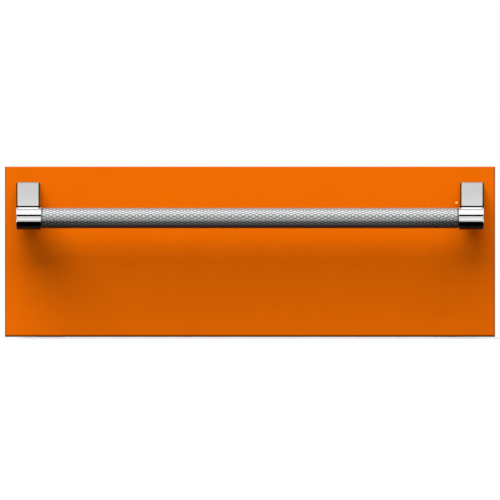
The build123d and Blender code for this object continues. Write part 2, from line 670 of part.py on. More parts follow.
def rear_bumper():
    """The right rubber stop on the cavity's back wall, which the drawer side closes against."""
    stop = block((SIDE_OUT - 16.0, SIDE_OUT - 3.0), (SIDE_END + 0.4, CAVITY_D), (88.0, 104.0))
    return chamfer(stop.faces().sort_by(Axis.Y)[0].edges(), 2.0)


# Heating element


def heating_element():
    """One tube bent to a wide U over the cavity's floor, with both ends through the back wall."""
    corners = [(-ELEMENT_X, ELEMENT_TAIL), (-ELEMENT_X, ELEMENT_FRONT), (ELEMENT_X, ELEMENT_FRONT),
               (ELEMENT_X, ELEMENT_TAIL)]
    path = FilletPolyline(*[(x, y, ELEMENT_Z) for x, y in corners], radius=ELEMENT_BEND_R)
    # Six sides stand for the round tube, because its long bends would hold many of the model's facets.
    section = Rot(0, 0, 30) * RegularPolygon(ELEMENT_R, 6)
    return sweep(Plane(origin=path @ 0, z_dir=path % 0) * section, path=path)


def element_support(y):
    """A folded channel across the floor that holds the element up between two ears at each run."""
    under = ELEMENT_Z - ELEMENT_R
    reach, half = ELEMENT_X + 20.0, 7.0
    line = [(y + half, CAVITY_FLOOR), (y + half, under), (y - half, under), (y - half, CAVITY_FLOOR)]
    channel = sideways(folded(line, SHEET), (-reach, reach))
    for x in (-ELEMENT_X, ELEMENT_X):
        for side in (-1, 1):
            ear = sorted((x + side * (ELEMENT_R + 0.1), x + side * (ELEMENT_R + 1.1)))
            channel += block(ear, (y - 4.0, y + 4.0), (under, ELEMENT_Z + 2.0))
    return channel


def element_terminal(x):
    """The ceramic bush and blade at one end of the element."""
    place = Pos(x, ELEMENT_Z)
    bush_end = ELEMENT_TAIL + 9.0
    bush = upright(place * RegularPolygon(4.6, HIDDEN_SIDES), (ELEMENT_TAIL, bush_end))
    return bush + upright(place * Rectangle(6.4, 0.8), (bush_end, bush_end + 10.0))


def cavity_sensors():
    """The temperature probe and the safety cut-out on the back wall, above the pan's rim."""
    outside = CAVITY_D + LINING
    here = Pos(SENSOR_X, SENSOR_Z)
    probe = rod_y(PROBE_R, SENSOR_X, (CAVITY_D - 18.0, CAVITY_D - 1.0), SENSOR_Z)
    probe += upright(here * Rectangle(14.0, 14.0), (CAVITY_D - 1.0, CAVITY_D))
    probe += upright(here * Rectangle(4.0, 4.0), (CAVITY_D, outside + 6.0))
    probe += upright(here * Rectangle(8.0, 8.0), (outside + 6.0, outside + 16.0))
    there = Pos(-SENSOR_X, SENSOR_Z - 2.0)
    cut_out = upright(there * Rectangle(18.0, 18.0), (outside, outside + 10.0))
    for x in (-4.0, 4.0):
        cut_out += upright(there * Pos(x, 0) * Rectangle(0.8, 6.0), (outside + 10.0, outside + 20.0))
    return probe, cut_out


# Controls


def control_fascia():
    """The moulded strip in the front frame: a lip, key pockets, lamp windows and posts for its board."""
    (x0, x1), (z0, z1) = FASCIA_X, FASCIA_Z
    lip = Rectangle(x1 - x0 + 2 * FASCIA_LIP, z1 - z0 + 2 * FASCIA_LIP)
    strip = upright(Pos((x0 + x1) / 2, (z0 + z1) / 2) * lip, (-FRAME_T - 1.0, -FRAME_T))
    strip = chamfer(strip.faces().sort_by(Axis.Y)[0].edges(), 0.6)
    strip += block(FASCIA_X, (-FRAME_T, FASCIA_BACK), FASCIA_Z)
    through = (-FRAME_T - 2.0, FASCIA_BACK + 1.0)
    width, height = KEY_SIZE
    for x in KEY_XS.values():
        strip -= upright(Pos(x, KEY_Z) * Rectangle(width + 0.6, height + 0.6), through)
        strip -= upright(Pos(x, KEY_Z) * Rectangle(width + 3.6, height + 3.6), (1.0, FASCIA_BACK + 1.0))
    strip -= block(LEVEL_BAR[0], through, LEVEL_BAR[1])
    window = 2 * (LENS_R + LENS_PLAY)
    strip -= upright(Pos(LENS_X, LENS_Z) * Rectangle(window, window), through)
    for x in (x0 + 5.0, 245.0, x1 - 5.0):
        strip += block((x - 2.0, x + 2.0), (FASCIA_BACK, BOARD_Y[0] - 0.1), (z1 - 6.0, z1 - 2.0))
    return strip


def key(x):
    """A push key: a cap in the fascia, a collar that keeps it in, and a stem to its switch."""
    width, height = KEY_SIZE
    place = Pos(x, KEY_Z)
    cap = upright(place * Rectangle(width, height), (-3.7, 1.2))
    cap = chamfer(cap.faces().sort_by(Axis.Y)[0].edges(), 0.4)
    collar = upright(place * Rectangle(width + 2.6, height + 2.6), (1.2, 2.6))
    return cap + collar + upright(place * Rectangle(3.6, 3.6), (2.6, KEY_STEM_END))


def control_board():
    """The key board behind the fascia, with a switch for each key and a plug at its back."""
    (x0, x1), (z0, z1) = FASCIA_X, FASCIA_Z
    board = block((x0 + 2.0, x1 - 2.0), BOARD_Y, (z0 + 1.0, z1 - 1.0))
    switch = (KEY_STEM_END + KEY_TRAVEL + 0.1, BOARD_Y[0])
    for x in KEY_XS.values():
        board += upright(Pos(x, KEY_Z) * Rectangle(6.0, 6.0), switch)
    return board + upright(Pos(300.0, KEY_Z) * Rectangle(16.0, 12.0), (BOARD_Y[1], BOARD_Y[1] + 6.4))


def panel_leds():
    """The lamps on the key board: a bar for the heat level, and one in line with the front's light pipe."""
    y = (-FRAME_T - 1.2, BOARD_Y[0] - 0.1)
    (x0, x1), (z0, z1) = LEVEL_BAR
    bar = block((x0 + 0.1, x1 - 0.1), y, (z0 + 0.1, z1 - 0.1))
    return bar, upright(Pos(LENS_X, LENS_Z) * Rectangle(2 * LENS_R, 2 * LENS_R), y)


def power_board():
    """The power board on its posts, with transformer, relays, capacitor, heat sink and connector."""
    z = SHELF_Z + SHEET + 6.0
    top = z + 1.6
    (x0, x1), (y0, y1) = POWER_BOARD
    board = block((x0, x1), (y0, y1), (z, top))
    for x in (x0 + 6.0, x1 - 6.0):
        for y in (y0 + 6.0, y1 - 6.0):
            board += level(Pos(x, y) * Rectangle(6.0, 6.0), (SHELF_Z + SHEET, z))
    transformer = level(Pos(x0 + 29.0, y0 + 36.0) * Rectangle(38.0, 32.0), (top, top + 22.0))
    capacitor = rod_z(8.0, x0 + 112.0, y0 + 32.0, (top, top + 20.0))
    connector = level(Pos(x0 + 68.0, y1 - 14.0) * Rectangle(100.0, 8.0), (top, top + 10.0))
    board += transformer + capacitor + connector
    for y in (y0 + 22.5, y0 + 42.5):
        board += level(Pos(x0 + 76.0, y) * Rectangle(28.0, 13.0), (top, top + 15.0))
    for i in range(5):
        board += level(Pos(x0 + 63.0 + 6.0 * i, y0 + 66.0) * Rectangle(2.0, 16.0), (top, top + 16.0))
    return board


def terminal_block():
    """The three-pole block where the supply is joined."""
    z, middle_y = SHELF_Z + SHEET, 514.0
    pole = 17.5
    place = Pos(INLET_X, middle_y)
    body = level(place * Rectangle(3 * pole + 1.5, 28.0), (z, z + 14.0))
    for i in range(4):
        body += level(place * Pos((i - 1.5) * pole, 0) * Rectangle(1.5, 28.0), (z + 14.0, z + 20.0))
    for i in range(3):
        for y in (-7.0, 7.0):
            body += level(place * Pos((i - 1) * pole, y) * RegularPolygon(3.4, 6), (z + 14.0, z + 16.5))
    return body


def cord_gland():
    """The supply inlet's gland in the back panel: two hexagons outside and a nut inside, on a bored neck."""
    centre = Pos(INLET_X, INLET_Z)
    inner, outer = CASE_D - 6.0, CASE_D + 15.0
    gland = upright(centre * RegularPolygon(11.5, 6), (CASE_D, CASE_D + 6.0))
    gland += upright(centre * RegularPolygon(9.6, 6), (CASE_D + 6.0, outer))
    gland += upright(centre * RegularPolygon(11.5, 6), (inner, CASE_D - SHEET))
    # The neck only crosses the thin panel, so a few sides stand for its round thread.
    gland += upright(centre * RegularPolygon(INLET_NECK_R, HIDDEN_SIDES), (inner, CASE_D))
    return gland - rod_y(INLET_BORE_R, INLET_X, (inner - 1.0, outer + 1.0), INLET_Z)


def anti_tip_bracket():
    """The angle at the back that is screwed to the cabinet's floor, with a gusset at each end."""
    thick, foot, height, half = 2.0, 42.0, 48.0, 42.0
    section = folded([(CASE_D, height), (CASE_D, 0), (CASE_D + foot, 0)], thick)
    angle = sideways(section, (-half, half))
    gusset = make_face(Polyline((CASE_D, 0), (CASE_D + foot - 6, 0), (CASE_D, height - 8), (CASE_D, 0)))
    angle += sideways(gusset, (-half, -half + thick)) + sideways(gusset, (half - thick, half))
    for x in (-25.0, 25.0):
        angle -= rod_z(2.5, x, CASE_D + 26.0, (-1.0, thick + 1.0))
    return angle


def case_screws():
    """The hexagon screw heads on the outer sides."""
    heads = []
    for side in (-1, 1):
        for y in (30.0, 290.0, 545.0):
            for z in (18.0, 224.0):
                x = sorted((side * CASE_X, side * (CASE_X + 2.0)))
                heads.append(sideways(Pos(y, z) * RegularPolygon(4.2, 6), x))
    return heads


# Humidity vent


def vent_slot_xs():
    """The places of the vent's slots along the front."""
    return [(i - (VENT_SLOTS - 1) / 2) * VENT_PITCH for i in range(VENT_SLOTS)]


def vent_guides():
    """The two folded strips on the lining that the vent's plate slides between."""
    y0, y1 = LINER_Y, LINER_Y + 2.4
    edge = VENT_PLATE_H / 2 + 0.3
    wall, lip, sheet = 1.4, 1.2, 0.8
    strip = rect((y0, y1), (edge, edge + wall)) + rect((y1 - sheet, y1), (edge - lip, edge + wall))
    pair = (strip, mirror(strip, about=Plane.XZ))
    return [sideways(Pos(0, VENT_Z) * profile, (-92.0, 92.0)) for profile in pair]


def vent_slider():
    """The sliding plate with its slots and thumb tab. At rest its slots lie between the lining's."""
    y = (LINER_Y + 0.2, LINER_Y + 1.4)
    length = VENT_SLOTS * VENT_PITCH + 8.0
    plate = upright(Pos(-VENT_TRAVEL / 2, VENT_Z) * Rectangle(length, VENT_PLATE_H), y)
    for x in vent_slot_xs():
        plate -= upright(Pos(x - VENT_TRAVEL, VENT_Z) * Rectangle(*VENT_SLOT), (y[0] - 1.0, y[1] + 1.0))
    tab = upright(Pos(-5.0, VENT_Z) * Rectangle(12.0, 6.0), (y[1], y[1] + 8.0))
    return plate + chamfer(tab.faces().sort_by(Axis.Y)[-1].edges(), 1.2)


def main():
    os.makedirs("parts", exist_ok=True)

    save("front_skin", front_skin())
    save("front_liner", front_liner())
    save("front_insulation", front_insulation())
    save("front_gasket", front_gasket())
    save("indicator_lens", indicator_lens())

    save("handle_bar", handle_bar())
    bracket = handle_bracket()
    save("handle_bracket_right", bracket)
    save("handle_bracket_left", other_side(bracket))
    plate = handle_backing_plate()
    save("handle_backing_plates", plate, other_side(plate))
    screw = handle_screw()
    save("handle_screws", screw, other_side(screw))

    save("drawer_pan", drawer_pan())
    side = drawer_side()
    save("drawer_side_right", side)
    save("drawer_side_left", other_side(side))
    save("wire_rack", *wire_rack())

    for name, profile in (("slide_outer", outer_profile()), ("slide_mid", mid_profile()),
                          ("slide_inner", inner_profile())):
        member = slide_member(profile, SLIDE_Y)
        save(f"{name}_left", member)
        save(f"{name}_right", other_side(member))
    for name, pieces in (("ball_cage_outer", outer_cage()), ("ball_cage_inner", inner_cage())):
        save(f"{name}_left", *pieces)
        save(f"{name}_right", *[other_side(piece) for piece in pieces])

    save("base_pan", base_pan())
    save("base_rails", base_rail((-FRAME_T, 40.0)), base_rail((500.0, 545.0)))
    panel = side_panel()
    save("side_panel_right", panel)
    save("side_panel_left", other_side(panel))
    save("rear_panel", rear_panel())
    save("top_cover", top_cover())
    save("front_frame", front_frame())
    save("cavity_floor", cavity_floor())
    wall = cavity_side()
    save("cavity_side_right", wall)
    save("cavity_side_left", other_side(wall))
    save("cavity_rear", cavity_rear())
    save("cavity_ceiling", cavity_ceiling())
    save("electronics_shelf", electronics_shelf())
    save("insulation_walls", *insulation_walls())
    save("insulation_base", insulation_base())
    save("insulation_top", insulation_top())
    bumper = rear_bumper()
    save("rear_bumpers", bumper, other_side(bumper))

    save("heating_element", heating_element())
    save("element_supports", element_support(150.0), element_support(395.0))
    save("element_terminals", *[element_terminal(x) for x in (-ELEMENT_X, ELEMENT_X)])
    save("cavity_sensors", *cavity_sensors())

    save("control_fascia", control_fascia())
    for name, x in KEY_XS.items():
        save(name, key(x))
    save("control_board", control_board())
    save("panel_leds", *panel_leds())
    save("power_board", power_board())
    save("terminal_block", terminal_block())
    save("cord_gland", cord_gland())
    save("anti_tip_bracket", anti_tip_bracket())
    save("case_screws", *case_screws())

    save("vent_guides", *vent_guides())
    save("vent_slider", vent_slider())


main()
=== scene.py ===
"""The looks of a built-in warming drawer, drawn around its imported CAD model.

Frame: x across, y from front to back, z up, in metres. The drawer's front faces -Y. Sizes and places come
from the CAD nodes' boxes, and the rest are the named values below.
"""

import json
import math

import bmesh
import bpy
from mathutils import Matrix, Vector


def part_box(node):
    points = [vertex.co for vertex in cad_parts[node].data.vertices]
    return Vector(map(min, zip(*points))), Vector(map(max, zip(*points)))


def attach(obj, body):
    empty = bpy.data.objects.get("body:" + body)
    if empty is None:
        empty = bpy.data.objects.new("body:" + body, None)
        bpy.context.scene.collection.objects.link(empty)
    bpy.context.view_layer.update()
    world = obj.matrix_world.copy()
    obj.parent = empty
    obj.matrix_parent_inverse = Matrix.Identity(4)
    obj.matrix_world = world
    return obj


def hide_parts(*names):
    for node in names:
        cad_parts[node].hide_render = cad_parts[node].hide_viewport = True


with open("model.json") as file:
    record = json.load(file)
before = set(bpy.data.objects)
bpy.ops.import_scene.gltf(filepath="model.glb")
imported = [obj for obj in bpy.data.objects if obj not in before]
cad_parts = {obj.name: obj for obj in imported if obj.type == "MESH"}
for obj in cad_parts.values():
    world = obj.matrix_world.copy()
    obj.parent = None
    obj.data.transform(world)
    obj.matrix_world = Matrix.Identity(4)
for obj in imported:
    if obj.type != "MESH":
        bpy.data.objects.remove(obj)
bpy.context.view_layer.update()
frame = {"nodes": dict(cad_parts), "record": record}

NODES = frame["nodes"]
MM = 0.001
WELD = 0.001 * MM

# The view: a long lens straight at the front, so that the handle isn't drawn larger than the panel.
VIEW_DISTANCE = 30.0
VIEW_WIDTH = 0.774
VIEW_Z = 0.1374
VIEW_END = 200.0
SENSOR = 36.0

# The studio. Each lamp: name, degrees right of the front, degrees up, degrees across, and its radiance, where
# white is 1.
LAMPS = (("left_softbox", -60.0, 74.0, 40.0, 10.2), ("front_softbox", -10.0, 66.0, 60.0, 5.6))
WHITE = (1.0, 1.0, 1.0)
AMBIENT = 0.25
FLOOR_REACH = 60.0
FLOOR_LIT = 0.13
FLOOR_GLOW = 0.69
FLOOR_BOUNCE = 0.06

# The cards and flags over the grip, which polished metal mirrors: both edges' degrees up, distance and shade.
HIGH_CARDS = {
    "high_flag": (14.0, 34.0, 2.4, 0.0),
    "top_card": (44.0, 78.0, 2.6, 1.35),
    "zenith_card_0": (78.0, 87.0, 2.6, 0.84),
    "zenith_card_1": (87.0, 94.0, 2.6, 0.42),
    "zenith_card_2": (94.0, 130.0, 2.6, 0.72),
}
HIGH_REACH = 4.0

# The cards ahead and at the sides: how far off and how wide they are, and their shades at heights in metres.
FRONT_AT = 1.1
FRONT_REACH = 2.5
FRONT_SHADES = ((0.0, 0.84), (0.17, 0.82), (0.20, 0.78), (0.24, 0.66), (0.30, 0.74), (0.50, 0.82))
SIDE_X = 1.4
SIDE_YS = (-0.9, 1.6)
SIDE_SHADES = ((0.0, 0.30), (0.15, 0.42), (0.3, 0.34), (0.6, 0.72))

# The floor card before each collar, and the flag behind it: across, up, and degrees down from the grip to the
# card's far edge, the flag's far edge and its near edge. The card's shades run between its two edges.
FLOOR_CARD_XS = (0.29, 0.42)
FLOOR_CARD_Z = 1.0 * MM
FLOOR_CARD_TURNS = (17.0, 36.0, 75.0)
FLOOR_CARD_SHADES = ((0.0, 0.80), (0.65, 0.66), (1.0, 0.30))

# The knurl on the grip, two crossing sets of helical grooves, and the necks and the tube that carry it.
KNURL_STARTS = 21
KNURL_PITCH = 10.6 * MM
KNURL_DEPTH = 0.45 * MM
KNURL_STEPS = (0.0, 0.18, 0.5, 0.82)
KNURL_CROWN = 0.08 * MM
NECK_L = 1.7 * MM
SPIGOT_R = 14.9 * MM
TUBE_BORE_R = 13.375 * MM
TUBE_CHAMFER = 0.6 * MM
SLEEVE_LAP = 0.01 * MM

# The status lamp's light pipe: a domed round tip, a shoulder behind the front's skin (its start, end and
# radius), and a thin stem.
PIPE_R = 1.95 * MM
PIPE_DOME = 0.9 * MM
PIPE_SHOULDER = (2.1 * MM, 3.3 * MM, 2.7 * MM)
PIPE_STEM_R = 1.3 * MM

# The black band painted along the joint between each bracket's arm and collar: its middle from the grip's
# axis, its half sizes, and how soft the edge of a painted place is.
JOINT_AT = Vector((0.0, -3.5, 17.3)) * MM
JOINT_HALF_Y = 4.0 * MM
JOINT_HALF_Z = 1.6 * MM
SHARP = 0.05 * MM

# Painted dark reflections on the chamfers at the arms' sides and on the underside of the collars, all but
# their flat ends, with a painted light line at the collars' very foot.
ARM_HALF_W = 18.0 * MM
PAINTED_EDGE_REFLECTION = (1.5 * MM, 2.1 * MM)
PAINTED_UNDERSIDE_REFLECTION = (10.6 * MM, 11.6 * MM)
PAINTED_FOOT_LIGHT_LINE = (0.1 * MM, 0.9 * MM)
END_FACING = 0.9

# Painted shade on the front's turned edges and its top, from the outline inward and from the face back.
PAINTED_SIDE_SHADE = (0.3 * MM, 2.6 * MM)
PAINTED_TOP_SHADE = (0.3 * MM, 3.0 * MM)
PAINTED_FOOT_SHADE = (0.5 * MM, 4.0 * MM)
PAINTED_SHADE_DEPTH = (2.6 * MM, 3.6 * MM)

# The pan: sheet, outer corner radius, bend over the floor, bend under the rim, rim's width, and hook's fall.
PAN_SHEET = 1.2 * MM
PAN_CORNER = 22.0 * MM
PAN_BEND = 7.0 * MM
RIM_BEND = 1.5 * MM
RIM_WIDTH = 8.0 * MM
HOOK_FALL = 4.0 * MM
CORNER_STEPS = 12
BEND_STEPS = 6

# The rack: the frame's square bar, its corner radius, and the wires welded across it.
RACK_BAR = 4.0 * MM
RACK_TOP = 70.0 * MM
RACK_CORNER = 24.0 * MM
RACK_BAR_XS = (-150.0 * MM, 0.0, 150.0 * MM)
RACK_FOOT = 5.0 * MM
RACK_FOOT_YS = (60.0 * MM, 256.0 * MM, 452.0 * MM)
RACK_SOFT = 0.2
WIRES = 15
WIRE_MARGIN = 25.0 * MM
WIRE_BLUNT = 0.35
WIRE_WELD = (1.25, 0.55)

# The slides' balls: (across from the cavity wall, up from the middle, radius), the cage's web across, and its
# strip up. The strip's edge is a share of a ball's radius past its middle.
SLIDE_MIDDLE_Z = 118.0 * MM
BALL_ROWS = {
    "outer": ((5.95 * MM, 18.95 * MM, 2.2 * MM), 1.5 * MM, 20.05 * MM),
    "inner": ((7.95 * MM, 13.45 * MM, 1.8 * MM), 3.9 * MM, 14.25 * MM),
}
CAGE_SHEET = 0.6 * MM
CAGE_EDGE = 0.65
BALLS = 10
BALL_PLAY = 0.12 * MM
POCKET_STEPS = 16

# The element's tube and its bends.
TUBE_R = 3.25 * MM
TUBE_BEND = 55.0 * MM
TUBE_STEPS = 20

# The keys' signs: how far they stand on a key's face and go into it, their radius and line, the power sign's
# arc in degrees and its stroke's foot, the clock's hands, and the bars' width, foot, left edges and tops.
PRINT_Y = (-0.03 * MM, 0.05 * MM)
SIGN_R = 3.0 * MM
SIGN_LINE = 0.55 * MM
POWER_ARC = (128, 412)
POWER_STROKE = 0.3
CLOCK_HANDS = (0.62, 0.5)
SIGN_BAR_W = 1.3 * MM
SIGN_BAR_FOOT = -2.6 * MM
SIGN_BARS = ((-3.0 * MM, -0.8 * MM), (-0.65 * MM, 0.9 * MM), (1.7 * MM, 2.6 * MM))

# The level bar's light pipes, and the status pipe: left, foot, right and top.
LEVEL_STEPS = 5
LEVEL_GAP = 0.5 * MM
PIPE_SOFT = 0.35 * MM
LEVEL_PIPES = (252.1 * MM, 213.3 * MM, 291.9 * MM, 216.7 * MM)
STATUS_PIPE = (317.85 * MM, 208.55 * MM, 321.75 * MM, 212.45 * MM)

# How far the edges of the boards' parts, sheets and posts and of the terminal block are rounded.
PART_SOFT = 0.3 * MM
SHEET_SOFT = 0.2 * MM
POST_SOFT = 0.6 * MM
BLOCK_SOFT = 0.5 * MM

# The power board: its posts and sheet, and what stands on it, as (x, y, width, depth, height) in millimetres
# from its corner.
POST_H = 6.0 * MM
POST_W = 6.0 * MM
POST_INSET = 3.0 * MM
BOARD_T = 1.6 * MM
BOARD_PARTS = {
    "board_green": (),
    "grey_plastic": ((68, 86, 100, 8, 6), *((20 + 8 * i, 86, 1.2, 8, 10) for i in range(13))),
    "black_plastic": ((29, 36, 26, 32, 17), (76, 22.5, 28, 13, 12), (76, 22.5, 27.4, 12.4, 15),
                      (76, 42.5, 28, 13, 12), (76, 42.5, 27.4, 12.4, 15)),
    "plated_steel": ((29, 36, 38, 20, 22), (75, 66, 28, 16, 2),
                     *((63 + 6 * i, 66, 2, 16, 16) for i in range(5))),
}
CAPACITOR = (112.0 * MM, 32.0 * MM)
CAN = ((0.0, 0.0), (0.0, 8.0), (2.0, 8.0), (2.6, 7.4), (3.2, 8.0), (19.3, 8.0), (20.0, 7.3), (20.0, 6.5),
       (19.5, 6.2), (19.5, 0.0))

# The key board: its sheet, its switches' bodies and plungers with their tips (length, share of the radius),
# and the plug at its back.
KEY_BOARD_Y = (12.0 * MM, 13.6 * MM)
SWITCH_HALF = 3.0 * MM
SWITCH_BODY = 2.9 * MM
PLUNGER_R = 1.7 * MM
PLUNGER_TIP = (0.2 * MM, 0.8)
PLUG_X = 300.0 * MM
PLUG_HALF = (8.0 * MM, 6.0 * MM)
PLUG_LID = (0.85, 0.8)
LID_STEP = 1.4 * MM
PLUG_SOFT = 0.4 * MM

# The terminal block: its poles and their pitch, the walls between them, and its body and screws.
POLES = 3
POLE = 17.5 * MM
WALL_T = 1.5 * MM
BLOCK_H = 14.0 * MM
POLE_SCREW = ((0.0, 0.0), (0.0, 3.2), (1.9, 3.2), (2.5, 2.6), (2.5, 1.2), (1.6, 0.9), (1.6, 0.0))
POLE_SCREW_Y = 7.0 * MM

# The finishes, by name.
looks = {}

# The nodes that are plated, not made of galvanised sheet, by how their names start, and the runners, whose
# near-white copy of the plating is painted light that keeps their shaded fronts pale.
PLATED = ("slide_", "ball_cage", "case_screws", "handle_screws", "handle_backing", "drawer_side",
          "vent_guides")
RUNNERS = "base_rails"

# The case's screw heads.
SCREW_R = 4.2 * MM
SCREW_H = 2.0 * MM
SCREW_YS = (30.0 * MM, 290.0 * MM, 545.0 * MM)
SCREW_ZS = (18.0 * MM, 224.0 * MM)
SCREW_SHAPE = ((0.0, 0.0), (0.0, 1.0), (0.7, 1.0), (1.0, 0.82), (1.0, 0.6), (0.75, 0.45), (0.7, 0.0))


# Mesh building


def new_object(name, data):
    """A new object in the scene, around a mesh, a lamp or a camera."""
    piece = bpy.data.objects.new(name, data)
    bpy.context.scene.collection.objects.link(piece)
    return piece


def plain_mesh(name, points, faces):
    """A new flat-shaded mesh from plain points and faces."""
    mesh = bpy.data.meshes.new(name)
    mesh.from_pydata([tuple(point) for point in points], [], faces)
    return mesh


def from_bmesh(name, shape, sharp=40.0):
    """A new mesh object from a bmesh, which is freed. Edges that turn more degrees than this stay sharp."""
    mesh = bpy.data.meshes.new(name)
    bmesh.ops.recalc_face_normals(shape, faces=shape.faces)
    shape.to_mesh(mesh)
    shape.free()
    for face in mesh.polygons:
        face.use_smooth = True
    mesh.set_sharp_from_angle(angle=math.radians(sharp))
    return new_object(name, mesh)


def solid(name, points, faces, sharp=40.0):
    """A new mesh object from plain points and faces, with vertices that coincide made one."""
    mesh = plain_mesh(name, points, faces)
    shape = bmesh.new()
    shape.from_mesh(mesh)
    bpy.data.meshes.remove(mesh)
    bmesh.ops.remove_doubles(shape, verts=shape.verts, dist=WELD)
    bmesh.ops.dissolve_degenerate(shape, edges=shape.edges, dist=WELD)
    return from_bmesh(name, shape, sharp)


def lathe(name, profile, centre, axis="X", steps=64, closed=True):
    """A turned shape: (place along the axis, radius) pairs spun about an axis through centre."""
    centre = Vector(centre)
    points, faces = [], []
    for place, radius in profile:
        for i in range(steps):
            turn = math.tau * i / steps
            across, up = radius * math.cos(turn), radius * math.sin(turn)
            offset = {"X": (place, across, up), "Y": (across, place, up), "Z": (across, up, place)}[axis]
            points.append(centre + Vector(offset))
    rows = len(profile)
    for row in range(rows if closed else rows - 1):
        here, after = row * steps, ((row + 1) % rows) * steps
        for i in range(steps):
            j = (i + 1) % steps
            faces.append((here + i, here + j, after + j, after + i))
    return solid(name, points, faces)


def sweep(name, path, section, up, closed=False):
    """A section of (across, up) offsets carried along a flat path of points. up is square to the path."""
    count, size = len(path), len(section)
    points, faces = [], []
    for i, here in enumerate(path):
        before = path[i - 1] if i or closed else here
        after = path[(i + 1) % count] if i + 1 < count or closed else here
        across = (after - before).cross(up).normalized()
        points.extend(here + across * offset + up * rise for offset, rise in section)
    for i in range(count if closed else count - 1):
        j = (i + 1) % count
        for k in range(size):
            m = (k + 1) % size
            faces.append((i * size + k, i * size + m, j * size + m, j * size + k))
    if not closed:
        faces.append(tuple(range(size)))
        faces.append(tuple(range((count - 1) * size, count * size)))
    return solid(name, points, faces)


def plate(name, outline, offset):
    """A flat shape: its outline's points, and the same outline moved by the offset."""
    count = len(outline)
    points = [Vector(point) for point in outline]
    points += [point + Vector(offset) for point in points]
    faces = [tuple(range(count)), tuple(range(count, 2 * count))]
    faces += [(i, (i + 1) % count, count + (i + 1) % count, count + i) for i in range(count)]
    return solid(name, points, faces)


def block(name, low, high, soft):
    """A box between two corners, with its edges rounded off."""
    shape = bmesh.new()
    bmesh.ops.create_cube(shape, size=1.0)
    for vertex in shape.verts:
        vertex.co = Vector([a + (0.5 + c) * (b - a) for a, b, c in zip(low, high, vertex.co)])
    bmesh.ops.bevel(shape, geom=shape.edges[:], offset=soft, segments=2, profile=0.5, affect="EDGES")
    return from_bmesh(name, shape)


def ball(name, centre, radius, squash=1.0):
    """A sphere, or a flattened one."""
    shape = bmesh.new()
    bmesh.ops.create_uvsphere(shape, u_segments=16, v_segments=10, radius=radius)
    for vertex in shape.verts:
        vertex.co = Vector((vertex.co.x, vertex.co.y, vertex.co.z * squash)) + Vector(centre)
    return from_bmesh(name, shape)


def middle_of(node):
    """The middle of a CAD node's box."""
    low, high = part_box(node)
    return (low + high) / 2


def circle(radius, steps):
    """The section of a round bar."""
    turns = [math.tau * i / steps for i in range(steps)]
    return [(radius * math.cos(turn), radius * math.sin(turn)) for turn in turns]


def rounded_loop(middle, half_x, half_y, radius, z, steps=CORNER_STEPS):
    """The points of a level rectangle with rounded corners."""
    points = []
    for quarter, (side_x, side_y) in enumerate(((1, 1), (-1, 1), (-1, -1), (1, -1))):
        x, y = middle.x + side_x * (half_x - radius), middle.y + side_y * (half_y - radius)
        for i in range(steps + 1):
            turn = math.pi / 2 * (quarter + i / steps)
            points.append(Vector((x + radius * math.cos(turn), y + radius * math.sin(turn), z)))
    return points


def join(name, pieces):
    """Several mesh objects as one."""
    shape = bmesh.new()
    for piece in pieces:
        shape.from_mesh(piece.data)
    mesh = bpy.data.meshes.new(name)
    shape.to_mesh(mesh)
    shape.free()
    for piece in pieces:
        bpy.data.objects.remove(piece)
    return new_object(name, mesh)


def dress(piece, finish, body, *replaced):
    """Gives a new piece its finish, its body and the CAD nodes that it stands for."""
    piece.data.materials.append(looks[finish])
    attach(piece, body)
    if replaced:
        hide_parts(*replaced)


def share_out(node, pieces):
    """Dresses the pieces of a node of the case, which are listed by the finish of each."""
    for finish, parts in pieces.items():
        dress(join(f"{node}_{finish}", parts), finish, "case", node)


# Materials


def feed(tree, socket, value):
    """Sets a node's input, or links it when the value is another node's output."""
    if isinstance(value, bpy.types.NodeSocket):
        tree.links.new(value, socket)
    elif isinstance(value, tuple) and len(value) == 3 and socket.type == "RGBA":
        socket.default_value = (*value, 1.0)
    else:
        socket.default_value = value


def combine(tree, kind, *values):
    """The first output of a new node, whose inputs are fed in order."""
    node = tree.nodes.new("ShaderNode" + kind)
    for socket, value in zip(node.inputs, values):
        feed(tree, socket, value)
    return node.outputs[0] if node.outputs else None


def calculate(tree, operation, first, second=0.0):
    """The result of a calculation on outputs or plain numbers."""
    result = combine(tree, "Math", first, second)
    result.node.operation = operation
    return result


